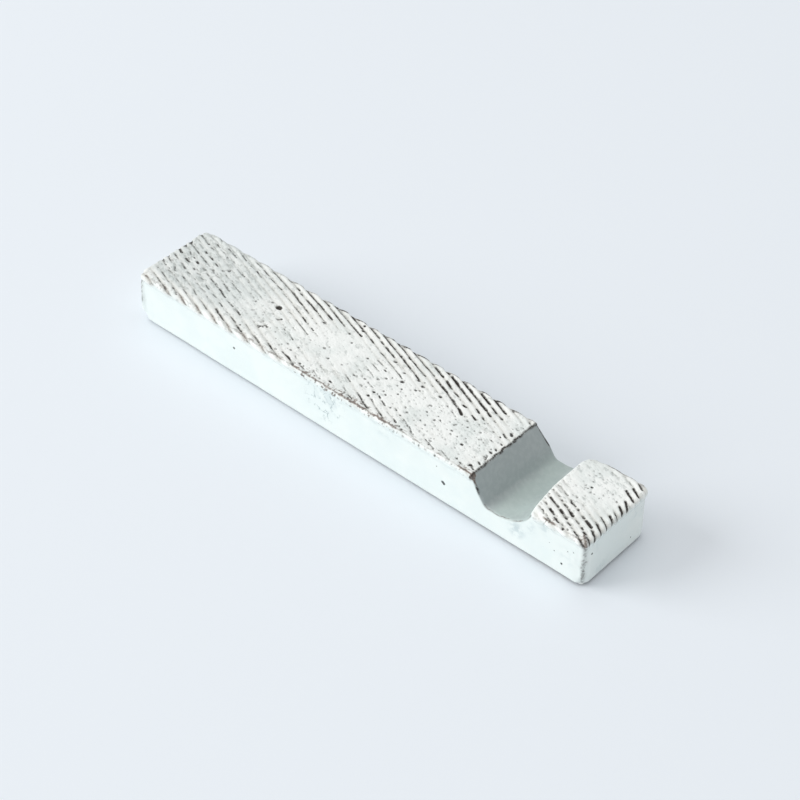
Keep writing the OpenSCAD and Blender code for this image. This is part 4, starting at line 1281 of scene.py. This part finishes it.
pinholeLook = dict(ragged=0.0005, core=0.6, share=0.95, sink=0.06)
# Faint grey-green clouds in the near wall's and the end wall's glaze: x, y, z, radius and strength
smudges = [
    (38.2, -8.8, 4.6, 2.6, 0.8), (40.6, -8.8, 7.2, 2.2, 0.6), (44.5, -8.8, 9.0, 2.4, 0.6),
    (49.0, -8.8, 5.4, 3.4, 0.25), (-5.0, -8.8, 9.2, 6.0, 0.4), (8.0, -8.8, 9.6, 4.0, 0.35),
    (52.5, -4.0, 1.6, 3.4, 0.35), (52.5, 6.0, 8.6, 3.2, 0.35), (52.5, -6.5, 8.0, 2.4, 0.3),
]
smudgeCore = 0.2  # share of a cloud's radius within which it is full
# Faint crazing on the near wall: its centre, how far it reaches and is full, and its cells and bends
craze = dict(place=(-5.6, -8.8, 7.4), reach=5.8, core=0.4, scale=520.0, bendScale=900.0, bend=0.0022)


def crazeShare(sheet, place, middling):
    # Cracks lie where a point is as near to one cell of a pattern as to the next
    bend = sheet.add("TexNoise", {"Vector": place, "Scale": craze["bendScale"], "Detail": 3.0})
    bent = sheet.vector("SCALE", {0: bend.outputs["Color"], "Scale": craze["bend"]}).outputs[0]
    wavy = sheet.vector("ADD", {0: place, 1: bent}).outputs[0]
    cells = sheet.add("TexVoronoi", {"Vector": wavy, "Scale": craze["scale"]}, feature="DISTANCE_TO_EDGE")
    line = sheet.step(cells.outputs["Distance"], *onsets["craze"])
    reach = craze["reach"] * metre
    here = sheet.step(sheet.apart(place, craze["place"]), reach, reach * craze["core"])
    return sheet.times(sheet.times(line, here), sheet.step(middling, *onsets["crazeGaps"]))


def mottlingNoise(sheet, place):
    # Noise drawn out along the ridges
    angle = math.radians(mottling["slant"])
    turned = sheet.add("VectorRotate", {"Vector": place, "Angle": angle}, rotation_type="Z_AXIS").outputs[0]
    drawn = sheet.vector("MULTIPLY", {0: turned, 1: mottling["drawn"]}).outputs[0]
    return sheet.noise(drawn, *noises["patchy"])


def slipShade(sheet, slow, middling, patchy, groove, toneAndWallShade):
    # White slip, cooler in places, greyer and mottled at the left end, darker in the grooves by its own tint
    # and by painted shade
    slip = sheet.mix(sheet.step(slow, *onsets["slipCool"]), shades["slip"], shades["slipCool"])
    greyed = sheet.times(toneAndWallShade, sheet.step(middling, *onsets["slipGrey"]))
    slip = sheet.mix(greyed, slip, shades["slipGrey"])
    edge = sheet.plus(mottling["edge"], sheet.times(toneAndWallShade, mottling["edgeGrey"]))
    mottled = sheet.step(sheet.minus(edge, patchy), *onsets["mottle"])
    strength = sheet.plus(mottling["share"], sheet.times(toneAndWallShade, mottling["shareGrey"]))
    slip = sheet.mix(sheet.times(mottled, strength), slip, shades["mottle"])
    grooveShadeShare = sheet.minus(grooveShading["share"], sheet.times(toneAndWallShade, grooveShading["shareGrey"]))
    return sheet.mix(sheet.times(groove, grooveShadeShare), slip, shades["groove"])


def glazeShade(sheet, place, slow, middling):
    # Cool white glaze with faint crazing and grey-green clouds
    glaze = sheet.mix(sheet.step(slow, *onsets["glazeCool"]), shades["glaze"], shades["glazeCool"])
    glaze = sheet.mix(crazeShare(sheet, place, middling), glaze, shades["craze"])
    broken = sheet.step(middling, *onsets["smudge"])
    for x, y, z, radius, strength in smudges:
        reach = radius * metre
        near = sheet.step(sheet.apart(place, (x, y, z)), reach, reach * smudgeCore, 0.0, strength)
        glaze = sheet.mix(sheet.times(near, broken), glaze, shades["smudge"])
    return glaze


def poolShade(sheet, slow, patchy, toneAndWallShade):
    # Pooled glaze, its own grey-green darkened by painted shade, and greyer on the notch's wall, partly by
    # painted shade
    deep = sheet.mix(toneAndWallShade, shades["poolAndShade"], shades["wallPoolAndShade"])
    deep = sheet.mix(sheet.step(slow, *onsets["poolGrey"]), deep, shades["wallPoolAndShade"])
    return sheet.mix(sheet.step(patchy, *onsets["poolPatches"]), deep, shades["slip"])


def pinholeShare(sheet, place, fine):
    # Where the pinholes show, with uneven rims
    ragged = sheet.times(sheet.minus(fine, 0.5), pinholeLook["ragged"])
    specks = 0.0
    for x, y, z, radius in pinholes:
        apart = sheet.plus(sheet.apart(place, (x, y, z)), ragged)
        reach = radius * metre
        specks = sheet.largest(specks, sheet.step(apart, reach, reach * pinholeLook["core"]))
    return sheet.times(specks, pinholeLook["share"])


def firedCoatGroup():
    # Colour, roughness and height of every coat, from the fields on the mesh and noise in object space
    group = bpy.data.node_groups.new("firedCoat", "ShaderNodeTree")
    for name, kind in (("Color", "Color"), ("Roughness", "Float"), ("Height", "Float")):
        group.interface.new_socket(name=name, in_out="OUTPUT", socket_type="NodeSocket" + kind)
    sheet = NodeSheet(group)
    result = group.nodes.new("NodeGroupOutput")
    place = sheet.add("TexCoord").outputs["Object"]
    fieldNames = ("bare", "groove", "glass", "rust", "poolAndShade", "toneAndWallShade")
    bare, groove, glass, rust, poolAndShade, toneAndWallShade = (sheet.field(name) for name in fieldNames)
    slow, middling, fine = (sheet.noise(place, *noises[name]) for name in ("slow", "middling", "fine"))
    patchy = mottlingNoise(sheet, place)

    slip = slipShade(sheet, slow, middling, patchy, groove, toneAndWallShade)
    glaze = sheet.mix(poolAndShade, glazeShade(sheet, place, slow, middling), poolShade(sheet, slow, patchy, toneAndWallShade))
    shade = sheet.mix(glass, slip, glaze)
    rustShare = sheet.step(sheet.times(rust, sheet.step(fine, *onsets["rustGrain"])), *onsets["rust"])
    rustTone = sheet.mix(sheet.step(fine, *onsets["rustDark"]), shades["rust"], shades["rustDark"])
    shade = sheet.mix(sheet.times(rustShare, surface["rustShare"]), shade, rustTone)
    bareShare = sheet.step(sheet.times(bare, sheet.step(fine, *onsets["bareGrain"])), *onsets["bare"])
    shade = sheet.mix(bareShare, shade, shades["clay"])
    speckShare = pinholeShare(sheet, place, fine)
    shade = sheet.mix(speckShare, shade, shades["speck"])

    glossy = sheet.times(glass, sheet.minus(1.0, sheet.largest(bareShare, rustShare)))
    limits = {"Value": glossy, "To Min": surface["dull"], "To Max": surface["glassy"]}
    rough = sheet.add("MapRange", limits).outputs["Result"]
    rough = sheet.plus(rough, sheet.times(sheet.minus(middling, 0.5), surface["roughVaries"]))
    height = sheet.times(fine, sheet.step(glass, *onsets["grainHeight"]))
    height = sheet.plus(height, sheet.times(patchy, sheet.step(glass, *onsets["patchHeight"])))
    height = sheet.plus(height, sheet.times(middling, sheet.step(glass, *onsets["swellHeight"])))
    height = sheet.minus(height, sheet.times(speckShare, pinholeLook["sink"]))
    for name, value in (("Color", shade), ("Roughness", rough), ("Height", height)):
        sheet.put(value, result.inputs[name])
    return group


firedCoat = firedCoatGroup()


def newMaterial(name):
    # A material with its shader, and a sheet for adding nodes to it
    material = bpy.data.materials.new(name)
    material.use_nodes = True
    return material, material.node_tree.nodes["Principled BSDF"], NodeSheet(material.node_tree)


def coatMaterial(name):
    # One fired coat, with the group's colour, roughness and height put into the shader
    material, shader, sheet = newMaterial(name)
    shader.inputs["IOR"].default_value = surface["refraction"]
    group = sheet.add("Group", node_tree=firedCoat)
    sheet.put(group.outputs["Color"], shader.inputs["Base Color"])
    sheet.put(group.outputs["Roughness"], shader.inputs["Roughness"])
    sheet.put(sheet.bump(group.outputs["Height"], *surface["coatBump"]), shader.inputs["Normal"])
    return material


def clayMaterial(name):
    # Bare fired stoneware: a warm grey-brown with darker grit
    material, shader, sheet = newMaterial(name)
    place = sheet.add("TexCoord").outputs["Object"]
    slow, fine = sheet.noise(place, *noises["claySlow"]), sheet.noise(place, *noises["clayFine"])
    shade = sheet.mix(sheet.step(slow, *onsets["clayTone"]), shades["bareClay"], shades["rustDark"])
    shade = sheet.mix(sheet.step(fine, *onsets["clayGrit"]), shade, shades["clay"])
    sheet.put(shade, shader.inputs["Base Color"])
    sheet.put(sheet.step(fine, *onsets["clayRough"]), shader.inputs["Roughness"])
    sheet.put(sheet.bump(fine, *surface["clayBump"]), shader.inputs["Normal"])
    return material


materials = dict(
    longDeckSlip=coatMaterial("whiteSlip"), wallGlaze=coatMaterial("whiteGlaze"),
    notchGlaze=coatMaterial("pooledGlaze"), clayCore=clayMaterial("stonewareClay"),
)
materials["shortDeckSlip"] = materials["longDeckSlip"]
for name, piece in pieces.items():
    piece.data.materials.append(materials[name])
print("materials made")


# The table and the world, in metres
studio = dict(
    floorSize=6.0, floorColour=(234, 240, 246), floorRoughness=0.7, floorGloss=0.2,
    skyColour=(255, 255, 255), sky=0.588,
)
# Each lamp is a disc: the way to it from the bar, how far, how wide, its power and its colour
lamps = dict(
    window=dict(way=(-0.70, -0.58, 0.40), away=2.2, size=1.6, power=30.9, shade=(255, 255, 255)),
    ceiling=dict(way=(-0.1, 0.0, 1.0), away=2.2, size=2.2, power=9.7, shade=(255, 255, 255)),
)


def makeFloor():
    half = studio["floorSize"] / 2
    corners = [(-half, -half, 0), (half, -half, 0), (half, half, 0), (-half, half, 0)]
    mesh = bpy.data.meshes.new("tableTop")
    mesh.from_pydata(corners, [], [(0, 1, 2, 3)])
    floor = bpy.data.objects.new("tableTop", mesh)
    bpy.context.collection.objects.link(floor)
    material, shader = newMaterial("paleTable")[:2]
    shader.inputs["Base Color"].default_value = colour(*studio["floorColour"])
    shader.inputs["Roughness"].default_value = studio["floorRoughness"]
    shader.inputs["Specular IOR Level"].default_value = studio["floorGloss"]
    floor.data.materials.append(material)


def makeWorld():
    world = bpy.data.worlds.new("studio")
    world.use_nodes = True
    bpy.context.scene.world = world
    background = world.node_tree.nodes["Background"]
    background.inputs["Color"].default_value = colour(*studio["skyColour"])
    background.inputs["Strength"].default_value = studio["sky"]


def makeLamp(name, values):
    data = bpy.data.lights.new(name, "AREA")
    data.shape = "DISK"
    data.size = values["size"]
    data.energy = values["power"]
    data.color = colour(*values["shade"])[:3]
    lamp = bpy.data.objects.new(name, data)
    bpy.context.collection.objects.link(lamp)
    way = Vector(values["way"]).normalized()
    lamp.location = way * values["away"]
    lamp.rotation_euler = way.to_track_quat("Z", "Y").to_euler()


makeFloor()
makeWorld()
for name, values in lamps.items():
    makeLamp(name, values)
bpy.context.scene.view_settings.view_transform = "Standard"
print("studio made")

bpy.context.view_layer.update()
